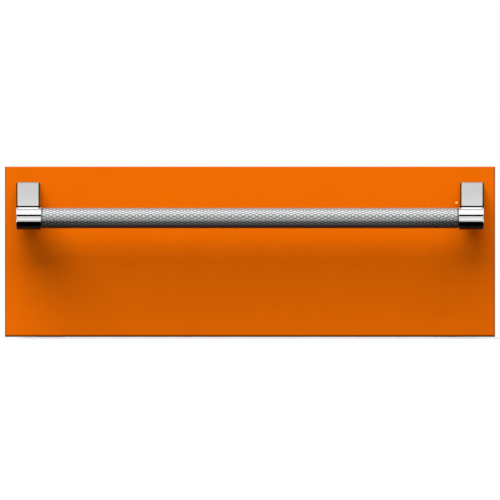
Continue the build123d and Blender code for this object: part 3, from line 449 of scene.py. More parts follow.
class Surface:
    """A finish being made: a Principled shader, with short ways to add nodes in the object's own metres."""

    def __init__(self, name, **values):
        material = bpy.data.materials.new(name)
        material.use_nodes = True
        looks[name] = material
        self.tree = material.node_tree
        self.shader = self.tree.nodes["Principled BSDF"]
        self.place = self.add("TexCoord").outputs["Object"]
        self.normal = None
        for socket, value in values.items():
            self.shader.inputs[socket.replace("_", " ").title().replace("Ior", "IOR")].default_value = value

    def add(self, kind, **inputs):
        """A new node, with its inputs set to plain values or linked to other nodes' outputs."""
        node = self.tree.nodes.new("ShaderNode" + kind)
        for socket, value in inputs.items():
            feed(self.tree, node.inputs[socket.replace("_", " ")], value)
        return node

    def set(self, socket, value):
        """Sets or links one of the shader's own inputs."""
        feed(self.tree, self.shader.inputs[socket], value)

    def paint(self, colour):
        self.set("Base Color", colour)

    def gloss(self, roughness):
        self.set("Roughness", roughness)

    def xyz(self):
        """The object's own place, as three outputs."""
        return self.add("SeparateXYZ", Vector=self.place).outputs

    def noise(self, scale, detail=3.0, roughness=0.5, stretch=(1.0, 1.0, 1.0)):
        """Cloudy noise with about this many features to a metre, from 0 to 1, scaled along each axis."""
        place = self.add("Mapping", Vector=self.place, Scale=stretch).outputs["Vector"]
        node = self.add("TexNoise", Vector=place, Scale=scale, Detail=detail, Roughness=roughness)
        return node.outputs["Fac"]

    def ramp(self, factor, low, high, start=0.0, end=1.0):
        """A number from low to high as the factor runs from start to end."""
        node = self.add("MapRange", Value=factor, From_Min=start, From_Max=end, To_Min=low, To_Max=high)
        return node.outputs["Result"]

    def mix(self, factor, first, second):
        """A colour between two colours."""
        node = self.tree.nodes.new("ShaderNodeMix")
        node.data_type = "RGBA"
        for socket, value in ((0, factor), (6, first), (7, second)):
            feed(self.tree, node.inputs[socket], value)
        return node.outputs[2]

    def math(self, operation, first, second=0.0):
        return calculate(self.tree, operation, first, second)

    def times(self, first, second):
        return self.math("MULTIPLY", first, second)

    def minus(self, first, second):
        return self.math("SUBTRACT", first, second)

    def off(self, value, centre):
        """How far a number is from a centre."""
        return self.math("ABSOLUTE", self.minus(value, centre))

    def bump(self, height, depth, strength=1.0):
        """Relief on top of the relief so far. depth is in metres."""
        node = self.add("Bump", Height=height, Distance=depth, Strength=strength)
        if self.normal is not None:
            feed(self.tree, node.inputs["Normal"], self.normal)
        self.normal = node.outputs["Normal"]
        self.set("Normal", self.normal)


def orange_enamel():
    """Baked satin paint: a faint orange peel, slight clouding, and painted shade on its turned edges and top.
    """
    look = Surface("orange_enamel", Specular_Ior_Level=0.03, Ior=1.45)
    clouds = look.noise(14.0, detail=2.0)
    paint = look.mix(look.ramp(clouds, 0.0, 1.0, 0.3, 0.7), (0.880, 0.156, 0.0004), (0.900, 0.162, 0.0006))
    low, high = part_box("front_skin")
    x, y, z = look.xyz()
    # Painted shade: darker towards the sides and the foot of the face, and darker again on the top.
    side = look.ramp(look.minus(high.x, look.math("ABSOLUTE", x)), 1.0, 0.0, *PAINTED_SIDE_SHADE)
    foot = look.ramp(look.minus(z, low.z), 1.0, 0.0, *PAINTED_FOOT_SHADE)
    top = look.ramp(look.minus(high.z, z), 1.0, 0.0, *PAINTED_TOP_SHADE)
    front = look.ramp(look.minus(y, low.y), 1.0, 0.0, *PAINTED_SHADE_DEPTH)
    paint = look.mix(look.times(side, front), paint, (0.42, 0.060, 0.0005))
    paint = look.mix(look.times(foot, front), paint, (0.10, 0.016, 0.0002))
    look.paint(look.mix(top, paint, (0.24, 0.036, 0.0005)))
    look.gloss(look.ramp(look.noise(60.0, detail=4.0), 0.40, 0.50, 0.3, 0.7))
    look.bump(look.noise(700.0, detail=2.0), 0.00002, 0.6)
    look.bump(look.noise(45.0, detail=1.0), 0.00004, 0.5)


def polished_steel():
    """Mirror-polished chrome with faint wiping marks, a black band along the joint, and painted dark
    reflections on its chamfers and undersides.
    """
    look = Surface("polished_steel", Metallic=1.0)
    smudge = look.noise(38.0, detail=5.0, roughness=0.6)
    chrome = look.mix(smudge, (0.90, 0.90, 0.905), (0.94, 0.94, 0.94))
    joint_at = middle_of("handle_bar") + JOINT_AT
    x, y, z = look.xyz()
    # A black band painted along the joint between arm and collar.
    front = look.ramp(look.off(y, joint_at.y), 1.0, 0.0, JOINT_HALF_Y - SHARP, JOINT_HALF_Y)
    level = look.ramp(look.off(z, joint_at.z), 1.0, 0.0, JOINT_HALF_Z - SHARP, JOINT_HALF_Z)
    low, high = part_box("handle_bracket_right")
    # Painted dark reflections on the chamfers along the arms' sides, above the joint.
    from_side = look.minus(ARM_HALF_W, look.off(look.math("ABSOLUTE", x), high.x - ARM_HALF_W))
    edge = look.times(look.ramp(from_side, 1.0, 0.0, *PAINTED_EDGE_REFLECTION), front)
    edge = look.times(edge, look.math("GREATER_THAN", z, joint_at.z))
    joint = look.math("MAXIMUM", look.times(level, front), edge)
    # Painted dark reflection on the collars' undersides, a little lighter at their very foot as a painted
    # light line, and kept off their flat ends.
    foot = look.minus(z, low.z)
    under = look.times(look.ramp(foot, 1.0, 0.0, *PAINTED_UNDERSIDE_REFLECTION), look.ramp(foot, 0.6, 1.0, *PAINTED_FOOT_LIGHT_LINE))
    facing = look.add("SeparateXYZ", Vector=look.add("NewGeometry").outputs["True Normal"])
    round_part = look.math("LESS_THAN", look.math("ABSOLUTE", facing.outputs["X"]), END_FACING)
    dark = look.math("MAXIMUM", joint, look.times(under, round_part))
    look.paint(look.mix(dark, chrome, (0.002, 0.002, 0.002)))
    look.gloss(look.math("MAXIMUM", look.ramp(smudge, 0.045, 0.11, 0.35, 0.7), look.times(joint, 0.7)))
    look.bump(look.noise(1500.0, detail=2.0, stretch=(1.0, 0.08, 0.08)), 0.000004, 0.4)


def knurled_steel():
    """Satin steel, darker in its grooves than on its tips, with a painted dark reflection across its
    underside.
    """
    look = Surface("knurled_steel", Metallic=1.0)
    low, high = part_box("handle_bar")
    middle, radius = (low + high) / 2, (high.z - low.z) / 2
    _, y, z = look.xyz()
    off_y, off_z = look.minus(y, middle.y), look.minus(z, middle.z)
    height = look.math("SQRT", look.math("ADD", look.times(off_y, off_y), look.times(off_z, off_z)))
    raised = look.ramp(height, 0.0, 1.0, radius - 0.75 * KNURL_DEPTH, radius - 0.25 * KNURL_DEPTH)
    groove_noise = look.noise(260.0, detail=4.0)
    groove = look.mix(groove_noise, (0.30, 0.31, 0.31), (0.44, 0.45, 0.45))
    steel = look.mix(raised, groove, (0.90, 0.93, 0.93))
    # Painted dark reflection over the lower half of the grip, nearly black along its underside.
    under = look.math("MAXIMUM", look.ramp(off_z, 0.90, 0.0, -0.40 * radius, 0.18 * radius),
                      look.ramp(off_z, 0.965, 0.0, -0.66 * radius, -0.30 * radius))
    look.paint(look.mix(under, steel, (0.0, 0.0, 0.0)))
    look.gloss(look.ramp(raised, 0.42, 0.17))
    look.bump(look.noise(2600.0, detail=2.0), 0.000008, 0.5)


def brushed_stainless():
    """Stainless sheet brushed along x, with fingerprints' worth of unevenness."""
    look = Surface("brushed_stainless", Metallic=1.0)
    grain = look.noise(3200.0, detail=4.0, roughness=0.6, stretch=(0.006, 1.0, 1.0))
    clouds = look.noise(9.0)
    tone = look.mix(grain, (0.58, 0.58, 0.585), (0.72, 0.715, 0.71))
    look.paint(look.mix(look.ramp(clouds, 0.0, 0.2, 0.3, 0.7), tone, (0.60, 0.60, 0.61)))
    look.gloss(look.ramp(grain, 0.26, 0.36, 0.3, 0.7))
    look.bump(grain, 0.000006, 0.25)


def zinc_steel():
    """Galvanised sheet: spangled crystals a centimetre across, with dulled patches."""
    look = Surface("zinc_steel", Metallic=0.9)
    warp = look.noise(90.0)
    crystal = look.add("TexVoronoi", Vector=look.place, Scale=130.0)
    shade = look.add("SeparateColor", Color=crystal.outputs["Color"]).outputs[0]
    mottle = look.math("ADD", look.times(shade, 0.7), look.times(warp, 0.3))
    clouds = look.noise(7.0, detail=4.0)
    tone = look.mix(mottle, (0.40, 0.41, 0.42), (0.60, 0.61, 0.62))
    look.paint(look.mix(look.ramp(clouds, 0.0, 0.5, 0.45, 0.75), tone, (0.46, 0.47, 0.48)))
    look.gloss(look.ramp(mottle, 0.30, 0.50))
    look.bump(warp, 0.00003, 0.2)


def plated_steel(name, dark, light, smooth):
    """Bright plating between two tones, with fine rubbing marks. smooth is its least roughness."""
    look = Surface(name, Metallic=1.0)
    film = look.noise(24.0)
    rub = look.noise(1800.0, detail=4.0, stretch=(1.0, 0.02, 1.0))
    tone = look.mix(film, dark, light)
    look.paint(look.mix(look.ramp(rub, 0.0, 0.35, 0.35, 0.75), tone, tuple(0.8 * part for part in dark)))
    look.gloss(look.ramp(film, smooth, smooth + 0.12))
    look.bump(rub, 0.000006, 0.3)


def plastic(name, low, high, roughness):
    """Moulded plastic with a fine spark-eroded texture."""
    look = Surface(name, Specular_Ior_Level=0.4)
    grain = look.noise(2400.0, detail=2.0)
    clouds = look.noise(120.0)
    look.paint(look.mix(clouds, low, high))
    look.gloss(look.ramp(clouds, roughness - 0.05, roughness + 0.07, 0.3, 0.7))
    look.bump(grain, 0.00002, 0.5)


def lit_amber():
    """A lit amber light pipe, its glow a little uneven."""
    look = Surface("clear_amber", Roughness=0.18, Coat_Weight=0.4)
    cells = look.noise(900.0, detail=2.0)
    glow = look.mix(cells, (1.0, 0.32, 0.05), (1.0, 0.46, 0.14))
    look.paint(glow)
    look.set("Emission Color", glow)
    look.set("Emission Strength", look.ramp(cells, 0.55, 0.85))


def board_green():
    """A circuit board: solder mask over a net of traces, with small tinned pads."""
    look = Surface("board_green", Specular_Ior_Level=0.5)
    mask = look.noise(30.0)
    brick = look.add("TexBrick", Vector=look.place, Scale=190.0, Mortar_Size=0.09)
    base = look.mix(mask, (0.012, 0.11, 0.045), (0.02, 0.15, 0.06))
    traces = look.mix(brick.outputs["Fac"], base, (0.03, 0.22, 0.09))
    pads = look.add("TexVoronoi", Vector=look.place, Scale=260.0).outputs["Distance"]
    dots = look.ramp(pads, 1.0, 0.0, 0.10, 0.14)
    look.paint(look.mix(dots, traces, (0.62, 0.62, 0.60)))
    look.gloss(look.ramp(mask, 0.28, 0.42))
    look.bump(brick.outputs["Fac"], 0.00003, 0.4)


def silicone():
    """Dark silicone with a dusty bloom."""
    look = Surface("silicone", Specular_Ior_Level=0.35, Sheen_Weight=0.15)
    dust = look.noise(150.0, detail=5.0, roughness=0.6)
    look.paint(look.mix(look.ramp(dust, 0.0, 1.0, 0.35, 0.8), (0.028, 0.028, 0.031), (0.075, 0.075, 0.08)))
    look.gloss(look.ramp(dust, 0.50, 0.72))
    look.bump(look.noise(1400.0, detail=2.0), 0.00003, 0.5)


def fibre():
    """A pale mineral-fibre blanket, matted and flecked."""
    look = Surface("fibre", Specular_Ior_Level=0.1, Sheen_Weight=0.3)
    mat = look.noise(130.0, detail=8.0, roughness=0.75)
    strands = look.noise(900.0, detail=4.0, stretch=(0.15, 1.0, 1.0))
    tone = look.mix(mat, (0.60, 0.57, 0.49), (0.85, 0.83, 0.77))
    look.paint(look.mix(look.ramp(strands, 0.0, 0.6, 0.5, 0.75), tone, (0.45, 0.40, 0.30)))
    look.gloss(look.ramp(mat, 0.85, 0.98))
    look.bump(mat, 0.0012, 0.8)
    look.bump(strands, 0.0004, 0.6)


def element_sheath():
    """A heating tube's sheath, darkened and tinted by heat."""
    look = Surface("element_sheath", Metallic=0.85)
    tint = look.noise(22.0)
    soot = look.noise(380.0, detail=4.0)
    heat = look.mix(look.ramp(tint, 0.0, 1.0, 0.35, 0.65), (0.13, 0.115, 0.11), (0.15, 0.16, 0.20))
    look.paint(look.mix(look.ramp(soot, 0.0, 0.7, 0.4, 0.8), heat, (0.055, 0.05, 0.047)))
    look.gloss(look.ramp(soot, 0.34, 0.58))
    look.bump(soot, 0.00004, 0.5)


def ceramic_white():
    """Unglazed steatite with fine specks."""
    look = Surface("ceramic_white", Specular_Ior_Level=0.3)
    specks = look.noise(1600.0, detail=2.0)
    clouds = look.noise(90.0)
    tone = look.mix(clouds, (0.78, 0.76, 0.70), (0.88, 0.86, 0.81))
    look.paint(look.mix(look.ramp(specks, 0.0, 0.5, 0.62, 0.75), tone, (0.50, 0.46, 0.40)))
    look.gloss(look.ramp(clouds, 0.55, 0.75))
    look.bump(specks, 0.00003, 0.4)


# Pieces


def knurl_height(a, b):
    """How far the surface stands above the groove's bottom, 0 to 1, at helix phases a and b."""
    off = min(min(phase % 1.0, 1.0 - phase % 1.0) for phase in (a, b))
    return min(1.0, off / KNURL_STEPS[1])


def knurled_sleeve(name, centre, radius, half_length, core_radius):
    """The knurl: one patch for each diamond, laid out along the two crossing helices."""
    steps = len(KNURL_STEPS)
    around = KNURL_STARTS * steps
    last = int(math.ceil(2 * half_length / KNURL_PITCH)) + 1
    points, numbers, faces = [], {}, []

    def vertex(a, b):
        """The number of the vertex at these steps along the two helices, which wrap round the bar."""
        laps = (a + b) // (2 * around)
        a, b = a - laps * around, b - laps * around
        if (a, b) not in numbers:
            phase_a = a // steps + KNURL_STEPS[a % steps]
            phase_b = b // steps + KNURL_STEPS[b % steps]
            x = KNURL_PITCH * (phase_a - phase_b) / 2
            turn = math.pi * (phase_a + phase_b) / KNURL_STARTS
            height = knurl_height(phase_a, phase_b)
            crown = KNURL_CROWN if height == 1.0 and a % steps == 2 and b % steps == 2 else 0.0
            r = radius - KNURL_CROWN - KNURL_DEPTH * (1.0 - height) + crown
            beyond = abs(x) - half_length
            r = core_radius if beyond > 0 else min(r, radius - KNURL_DEPTH - beyond)
            x = max(-half_length, min(half_length, x))
            numbers[a, b] = len(points)
            points.append(Vector(centre) + Vector((x, r * math.cos(turn), r * math.sin(turn))))
        return numbers[a, b]

    for column in range(-last, last + 1):
        if abs(column) * KNURL_PITCH / 2 - KNURL_PITCH / 2 > half_length:
            continue
        for row in range(2 * KNURL_STARTS):
            if (column + row) % 2:
                continue
            first, second = (row + column) // 2 * steps, (row - column) // 2 * steps
            for i in range(steps):
                for j in range(steps):
                    a, b = first + i, second + j
                    faces.append((vertex(a, b), vertex(a + 1, b), vertex(a + 1, b + 1), vertex(a, b + 1)))
    return solid(name, points, faces, sharp=180.0)


def grip():
    """The handle's grip: a knurled sleeve on a turned tube, whose thinner ends sit in the collars."""
    low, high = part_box("handle_bar")
    middle = (low + high) / 2
    radius = (high.z - low.z) / 2
    neck_end = abs(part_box("handle_bracket_right")[0].x) - NECK_L
    end = high.x
    half = [(end - TUBE_CHAMFER, SPIGOT_R), (end, SPIGOT_R - TUBE_CHAMFER), (end, TUBE_BORE_R)]
    tube = lathe("grip_core", [(-x, r) for x, r in reversed(half)] + half, middle, steps=4 * KNURL_STARTS)
    sleeve = knurled_sleeve("grip_knurl", middle, radius, neck_end, SPIGOT_R - SLEEVE_LAP)
    whole = join("grip", [tube, sleeve])
    dress(whole, "knurled_steel", "drawer", "handle_bar")


def status_lens():
    """The status lamp's light pipe, with a domed tip just proud of the front."""
    low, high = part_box("indicator_lens")
    middle = (low + high) / 2
    start, end, shoulder_r = PIPE_SHOULDER
    turns = (0.0, 0.3, 0.6, 0.9, 1.2, math.pi / 2)
    tip = [(PIPE_DOME * (1 - math.cos(turn)), PIPE_R * math.sin(turn)) for turn in turns]
    length = high.y - low.y
    stem = [(start, PIPE_R), (start, shoulder_r), (end, shoulder_r), (end, PIPE_STEM_R),
            (length, PIPE_STEM_R), (length, 0.0)]
    lens = lathe("status_lens", tip + stem, (middle.x, low.y, middle.z), axis="Y", steps=32)
    dress(lens, "clear_amber", "drawer", "indicator_lens")


def pan():
    """The pressed tray, with round bends at its floor and rim, and the hooks along its sides."""
    low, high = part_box("drawer_pan")
    middle = (low + high) / 2
    wall_x, wall_y = high.x - RIM_WIDTH, (high.y - low.y) / 2 - RIM_WIDTH
    bend_z, rim_z = low.z + PAN_BEND, high.z - PAN_SHEET - RIM_BEND
    turns = [math.pi / 2 * i / BEND_STEPS for i in range(BEND_STEPS + 1)]

    def foot_bend(radius):
        """The bend over the floor at this radius, as (inset, z) pairs."""
        return [(PAN_BEND - radius * math.sin(t), bend_z - radius * math.cos(t)) for t in turns]

    def rim_bend(radius):
        """The bend under the rim at this radius, as (inset, z) pairs."""
        return [(radius * math.cos(t) - RIM_BEND, rim_z + radius * math.sin(t)) for t in turns]

    lip = PAN_SHEET / 3
    section = foot_bend(PAN_BEND) + rim_bend(RIM_BEND)
    section += [(lip - RIM_WIDTH, high.z - PAN_SHEET), (-RIM_WIDTH, high.z - PAN_SHEET + lip),
                (-RIM_WIDTH, high.z - lip), (lip - RIM_WIDTH, high.z)]
    section += rim_bend(RIM_BEND + PAN_SHEET)[::-1] + foot_bend(PAN_BEND - PAN_SHEET)[::-1]
    points, faces = [], []
    for inset, z in section:
        points += rounded_loop(middle, wall_x - inset, wall_y - inset, PAN_CORNER - inset, z)
    size = len(points) // len(section)
    for i in range(len(section) - 1):
        for k in range(size):
            m = (k + 1) % size
            faces.append((i * size + k, i * size + m, (i + 1) * size + m, (i + 1) * size + k))
    faces += [tuple(range(size)), tuple(range(len(points) - size, len(points)))]
    parts = [solid("pan_tray", points, faces)]
    hook_ends = middle.y - wall_y + PAN_CORNER, middle.y + wall_y - PAN_CORNER
    for side in (-1, 1):
        xs = sorted((side * (high.x - PAN_SHEET), side * high.x))
        top = high.z - lip
        parts.append(block("pan_hook", (xs[0], hook_ends[0], high.z - PAN_SHEET - HOOK_FALL),
                           (xs[1], hook_ends[1], top), lip))
    dress(join("pan", parts), "brushed_stainless", "drawer", "drawer_pan")


def rack():
    """The wire rack: a bent frame of square bar with bars along it, feet, and round wires welded across."""
    low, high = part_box("wire_rack")
    middle = (low + high) / 2
    half_x, half_y = (high.x - low.x) / 2, (high.y - low.y) / 2
    half, soft = RACK_BAR / 2, RACK_SOFT * RACK_BAR
    bar_z = RACK_TOP - half
    section = [(half, soft - half), (half, half - soft), (half - soft, half), (soft - half, half),
               (-half, half - soft), (-half, soft - half), (soft - half, -half), (half - soft, -half)]
    loop = rounded_loop(middle, half_x - half, half_y - half, RACK_CORNER - half, bar_z)
    parts = [sweep("rack_frame", loop, section, Vector((0, 0, 1)), closed=True)]
    for x in RACK_BAR_XS:
        parts.append(block("rack_bar", (x - half, middle.y - half_y + half, bar_z - half),
                           (x + half, middle.y + half_y - half, bar_z + half), soft))
    side_xs = (half - half_x, half_x - half)
    for x in side_xs:
        for y in RACK_FOOT_YS:
            parts.append(block("rack_foot", (x - half, y - RACK_FOOT, low.z),
                               (x + half, y + RACK_FOOT, bar_z), soft))
    wire_r = (high.z - RACK_TOP) / 2
    blunt = WIRE_BLUNT * wire_r
    weld, squash = WIRE_WELD
    wire = [(-half_x, 0.0), (-half_x, wire_r - blunt), (blunt - half_x, wire_r), (half_x - blunt, wire_r),
            (half_x, wire_r - blunt), (half_x, 0.0)]
    reach = half_y - WIRE_MARGIN
    for i in range(WIRES):
        y = middle.y + reach * (2 * i / (WIRES - 1) - 1)
        parts.append(lathe("rack_wire", wire, (middle.x, y, RACK_TOP + wire_r), steps=16, closed=False))
        for x in (*side_xs, *RACK_BAR_XS):
            parts.append(ball("rack_weld", (x, y, RACK_TOP), weld * wire_r, squash))
    dress(join("rack", parts), "brushed_stainless", "drawer", "wire_rack")


def ball_cage(row, side):
    """One stamped ball cage with its balls in open pockets. side is -1 at the left and 1 at the right."""
    (across, rise, radius), web, strip = BALL_ROWS[row]
    hand = "left" if side < 0 else "right"
    node = f"ball_cage_{row}_{hand}"
    low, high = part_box(node)
    wall = max(abs(low.x), abs(high.x)) + web
    x0, x1 = sorted((side * (wall - web), side * (wall - web - CAGE_SHEET)))
    parts = [block("cage_web", (x0, low.y, low.z), (x1, high.y, high.z), 0.25 * CAGE_SHEET)]
    pitch = (high.y - low.y) / BALLS
    edge = across + CAGE_EDGE * radius
    hole = radius + BALL_PLAY
    opening = math.acos((edge - across) / hole)
    turns = [opening + (math.tau - 2 * opening) * i / POCKET_STEPS for i in range(POCKET_STEPS + 1)]
    middles = [low.y + (i + 0.5) * pitch for i in range(BALLS)]
    outline = [(web, low.y), (edge, low.y)]
    for y in middles:
        outline += [(across + hole * math.cos(t), y - hole * math.sin(t)) for t in turns]
    outline += [(edge, high.y), (web, high.y)]
    for up in (-1, 1):
        corners = [(side * (wall - u), y, SLIDE_MIDDLE_Z + up * strip) for u, y in outline]
        parts.append(plate("cage_strip", corners, (0, 0, up * CAGE_SHEET)))
        for y in middles:
            parts.append(ball("cage_ball", (side * (wall - across), y, SLIDE_MIDDLE_Z + up * rise), radius))
    whole = join(f"cage_{row}_{hand}", parts)
    dress(whole, "plated_steel", f"{row}_cage_{hand}", node)


def element():
    """The heating tube, round and bent to a wide U."""
    low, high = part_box("heating_element")
    z = (low.z + high.z) / 2
    reach, front = high.x - TUBE_R, low.y + TUBE_R
    path = [Vector((-reach, high.y, z))]
    for quarter, side in ((2, -1), (3, 1)):
        centre = Vector((side * (reach - TUBE_BEND), front + TUBE_BEND, z))
        for i in range(CORNER_STEPS + 1):
            turn = math.pi / 2 * (quarter + i / CORNER_STEPS)
            path.append(centre + TUBE_BEND * Vector((math.cos(turn), math.sin(turn), 0)))
    path.append(Vector((reach, high.y, z)))
    tube = sweep("element", path, circle(TUBE_R, TUBE_STEPS), Vector((0, 0, 1)))
    dress(tube, "element_sheath", "case", "heating_element")


def hexagon_screws():
    """The screw heads on the case's sides: hexagons with a bevelled crown and a dished middle."""
    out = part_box("case_screws")[1].x - SCREW_H
    heads = []
    for side in (-1, 1):
        profile = [(side * place * SCREW_H, radius * SCREW_R) for place, radius in SCREW_SHAPE]
        for y in SCREW_YS:
            for z in SCREW_ZS:
                heads.append(lathe("screw", profile, (side * out, y, z), steps=6, closed=False))
    dress(join("hexagon_screws", heads), "plated_steel", "case", "case_screws")


def arc_band(middle, start, end, steps=20):
    """The outline of a stretch of a sign's ring in the x-z plane, between two angles in degrees."""
    turns = [math.radians(start + (end - start) * i / steps) for i in range(steps + 1)]
    points = [(SIGN_R, t) for t in turns] + [(SIGN_R - SIGN_LINE, t) for t in reversed(turns)]
    return [(middle.x + r * math.cos(t), middle.y, middle.z + r * math.sin(t)) for r, t in points]


def bar_outline(middle, x0, z0, x1, z1):
    """The outline of an upright rectangle in the x-z plane, from the middle."""
    return [(middle.x + x, middle.y, middle.z + z) for x, z in ((x0, z0), (x1, z0), (x1, z1), (x0, z1))]


def key_prints():
    """The signs on the keys: a broken ring with a stroke, three rising bars, and a ring with two hands."""
    half, (tall, wide) = SIGN_LINE / 2, CLOCK_HANDS
    for node, body in (("key_power", "power_key"), ("key_level", "level_key"), ("key_timer", "timer_key")):
        low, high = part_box(node)
        middle = Vector(((low.x + high.x) / 2, low.y + PRINT_Y[0], (low.z + high.z) / 2))
        if node == "key_power":
            arcs, bars = (POWER_ARC,), ((-half, POWER_STROKE * SIGN_R, half, SIGN_R),)
        elif node == "key_level":
            arcs, bars = (), [(x, SIGN_BAR_FOOT, x + SIGN_BAR_W, top) for x, top in SIGN_BARS]
        else:
            arcs = ((0, 180), (180, 360))
            bars = ((-half, -half, half, tall * SIGN_R), (-half, -half, wide * SIGN_R, half))
        outlines = [arc_band(middle, *arc) for arc in arcs] + [bar_outline(middle, *bar) for bar in bars]
        parts = [plate("print", outline, (0, PRINT_Y[1] - PRINT_Y[0], 0)) for outline in outlines]
        dress(join(f"print_{node}", parts), "black_plastic", body)


def level_lamps():
    """The level bar's light pipes, one for each step, and the square pipe behind the front's own."""
    low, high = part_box("panel_leds")
    x0, z0, x1, z1 = LEVEL_PIPES
    step = (x1 - x0 + LEVEL_GAP) / LEVEL_STEPS
    spans = [(x0 + i * step, z0, x0 + (i + 1) * step - LEVEL_GAP, z1) for i in range(LEVEL_STEPS)]
    parts = [block("light_pipe", (left, low.y, foot), (right, high.y, top), PIPE_SOFT)
             for left, foot, right, top in (*spans, STATUS_PIPE)]
    dress(join("level_lamps", parts), "clear_amber", "case", "panel_leds")


def power_board():
    """The power board on its posts, with transformer, relays, heat sink, connector and capacitor."""
    low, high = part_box("power_board")
    sheet = low.z + POST_H
    top = sheet + BOARD_T
    corner = Vector((low.x, low.y, top))
    pieces = {slot: [] for slot in BOARD_PARTS}
    for slot, parts in BOARD_PARTS.items():
        for x, y, width, depth, height in parts:
            foot = corner + Vector((x - width / 2, y - depth / 2, 0)) * MM
            pieces[slot].append(block("part", foot, foot + Vector((width, depth, height)) * MM, PART_SOFT))
    pieces["board_green"].append(block("sheet", (low.x, low.y, sheet), (high.x, high.y, top), SHEET_SOFT))
    for x in (low.x + POST_INSET, high.x - POST_INSET - POST_W):
        for y in (low.y + POST_INSET, high.y - POST_INSET - POST_W):
            post = block("post", (x, y, low.z), (x + POST_W, y + POST_W, sheet), POST_SOFT)
            pieces["grey_plastic"].append(post)
    can = [(place * MM, radius * MM) for place, radius in CAN]
    spot = (low.x + CAPACITOR[0], low.y + CAPACITOR[1], top)
    pieces["black_plastic"].append(lathe("capacitor", can, spot, axis="Z", steps=32, closed=False))
    share_out("power_board", pieces)


def key_board():
    """The board behind the keys, with a switch for each and a plug at its back."""
    low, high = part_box("control_board")
    front, back = KEY_BOARD_Y
    body = front - SWITCH_BODY
    z = middle_of("key_power").z
    (tip, blunt), switches, plungers = PLUNGER_TIP, [], []
    for node in ("key_power", "key_level", "key_timer"):
        x = middle_of(node).x
        switches.append(block("switch", (x - SWITCH_HALF, body, z - SWITCH_HALF),
                              (x + SWITCH_HALF, front, z + SWITCH_HALF), PART_SOFT))
        shape = [(0.0, 0.0), (0.0, blunt * PLUNGER_R), (tip, PLUNGER_R), (body - low.y, PLUNGER_R)]
        plungers.append(lathe("plunger", shape, (x, low.y, z), axis="Y", steps=24, closed=False))
    (half_x, half_z), (lid_x, lid_z) = PLUG_HALF, PLUG_LID
    plug = block("plug", (PLUG_X - half_x, back, z - half_z),
                 (PLUG_X + half_x, high.y - LID_STEP, z + half_z), PLUG_SOFT)
    lid = block("plug_lid", (PLUG_X - lid_x * half_x, back, z - lid_z * half_z),
                (PLUG_X + lid_x * half_x, high.y, z + lid_z * half_z), PLUG_SOFT)
    sheet = block("sheet", (low.x, front, low.z), (high.x, back, high.z), SHEET_SOFT)
    pieces = {"board_green": [sheet], "black_plastic": [*switches, lid], "grey_plastic": [*plungers, plug]}
    share_out("control_board", pieces)


def terminals():
    """The three-pole terminal block: walls between the poles, and two dished screws in each."""
    low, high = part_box("terminal_block")
    middle = (low + high) / 2
    top = low.z + BLOCK_H
    pieces = {"black_plastic": [block("body", low, (high.x, high.y, top), BLOCK_SOFT)], "plated_steel": []}
    for i in range(POLES + 1):
        x = middle.x + (i - POLES / 2) * POLE
        wall = block("wall", (x - WALL_T / 2, low.y, top - MM), (x + WALL_T / 2, high.y, high.z), PART_SOFT)
        pieces["black_plastic"].append(wall)
    screw = [(place * MM, radius * MM) for place, radius in POLE_SCREW]
    for i in range(POLES):
        for y in (-POLE_SCREW_Y, POLE_SCREW_Y):
            spot = (middle.x + (i - (POLES - 1) / 2) * POLE, middle.y + y, top)
            pieces["plated_steel"].append(lathe("pole_screw", screw, spot, axis="Z", steps=24, closed=False))
    share_out("terminal_block", pieces)


# The studio


def seen_directly(tree):
    """1 for rays from the camera, a reflection or a transmission, and 0 for the light on the object."""
    path = tree.nodes.new("ShaderNodeLightPath").outputs
    seen = calculate(tree, "MAXIMUM", path["Is Glossy Ray"], path["Is Transmission Ray"])
    seen = calculate(tree, "MAXIMUM", seen, path["Is Camera Ray"])
    return calculate(tree, "MULTIPLY", seen, calculate(tree, "LESS_THAN", path["Diffuse Depth"], 0.5))


def light_world(strength):
    """A white background, and even light of this strength on the object."""
    world = bpy.data.worlds.new("studio")
    bpy.context.scene.world = world
    world.use_nodes = True
    tree = world.node_tree
    tree.nodes.clear()
    light, seen = (combine(tree, "Background", WHITE, level) for level in (strength, 1.0))
    combine(tree, "OutputWorld", combine(tree, "MixShader", seen_directly(tree), light, seen))


def soft_sun(name, side, height, spread, radiance):
    """A wide, even lamp in the sky, from the values that LAMPS lists."""
    data = bpy.data.lights.new(name, "SUN")
    data.angle = math.radians(spread)
    data.energy = radiance * math.pi * math.sin(data.angle / 2) ** 2
    lamp = new_object(name, data)
    side, height = math.radians(side), math.radians(height)
    away = Vector((math.sin(side) * math.cos(height), -math.cos(side) * math.cos(height), math.sin(height)))
    lamp.rotation_euler = away.to_track_quat("Z", "Y").to_euler()
    lamp.visible_glossy = False


def bare_tree(piece):
    """The empty node tree of a new material on a piece of the studio."""
    material = bpy.data.materials.new(piece.name)
    material.use_nodes = True
    material.node_tree.nodes.clear()
    piece.data.materials.append(material)
    return material.node_tree


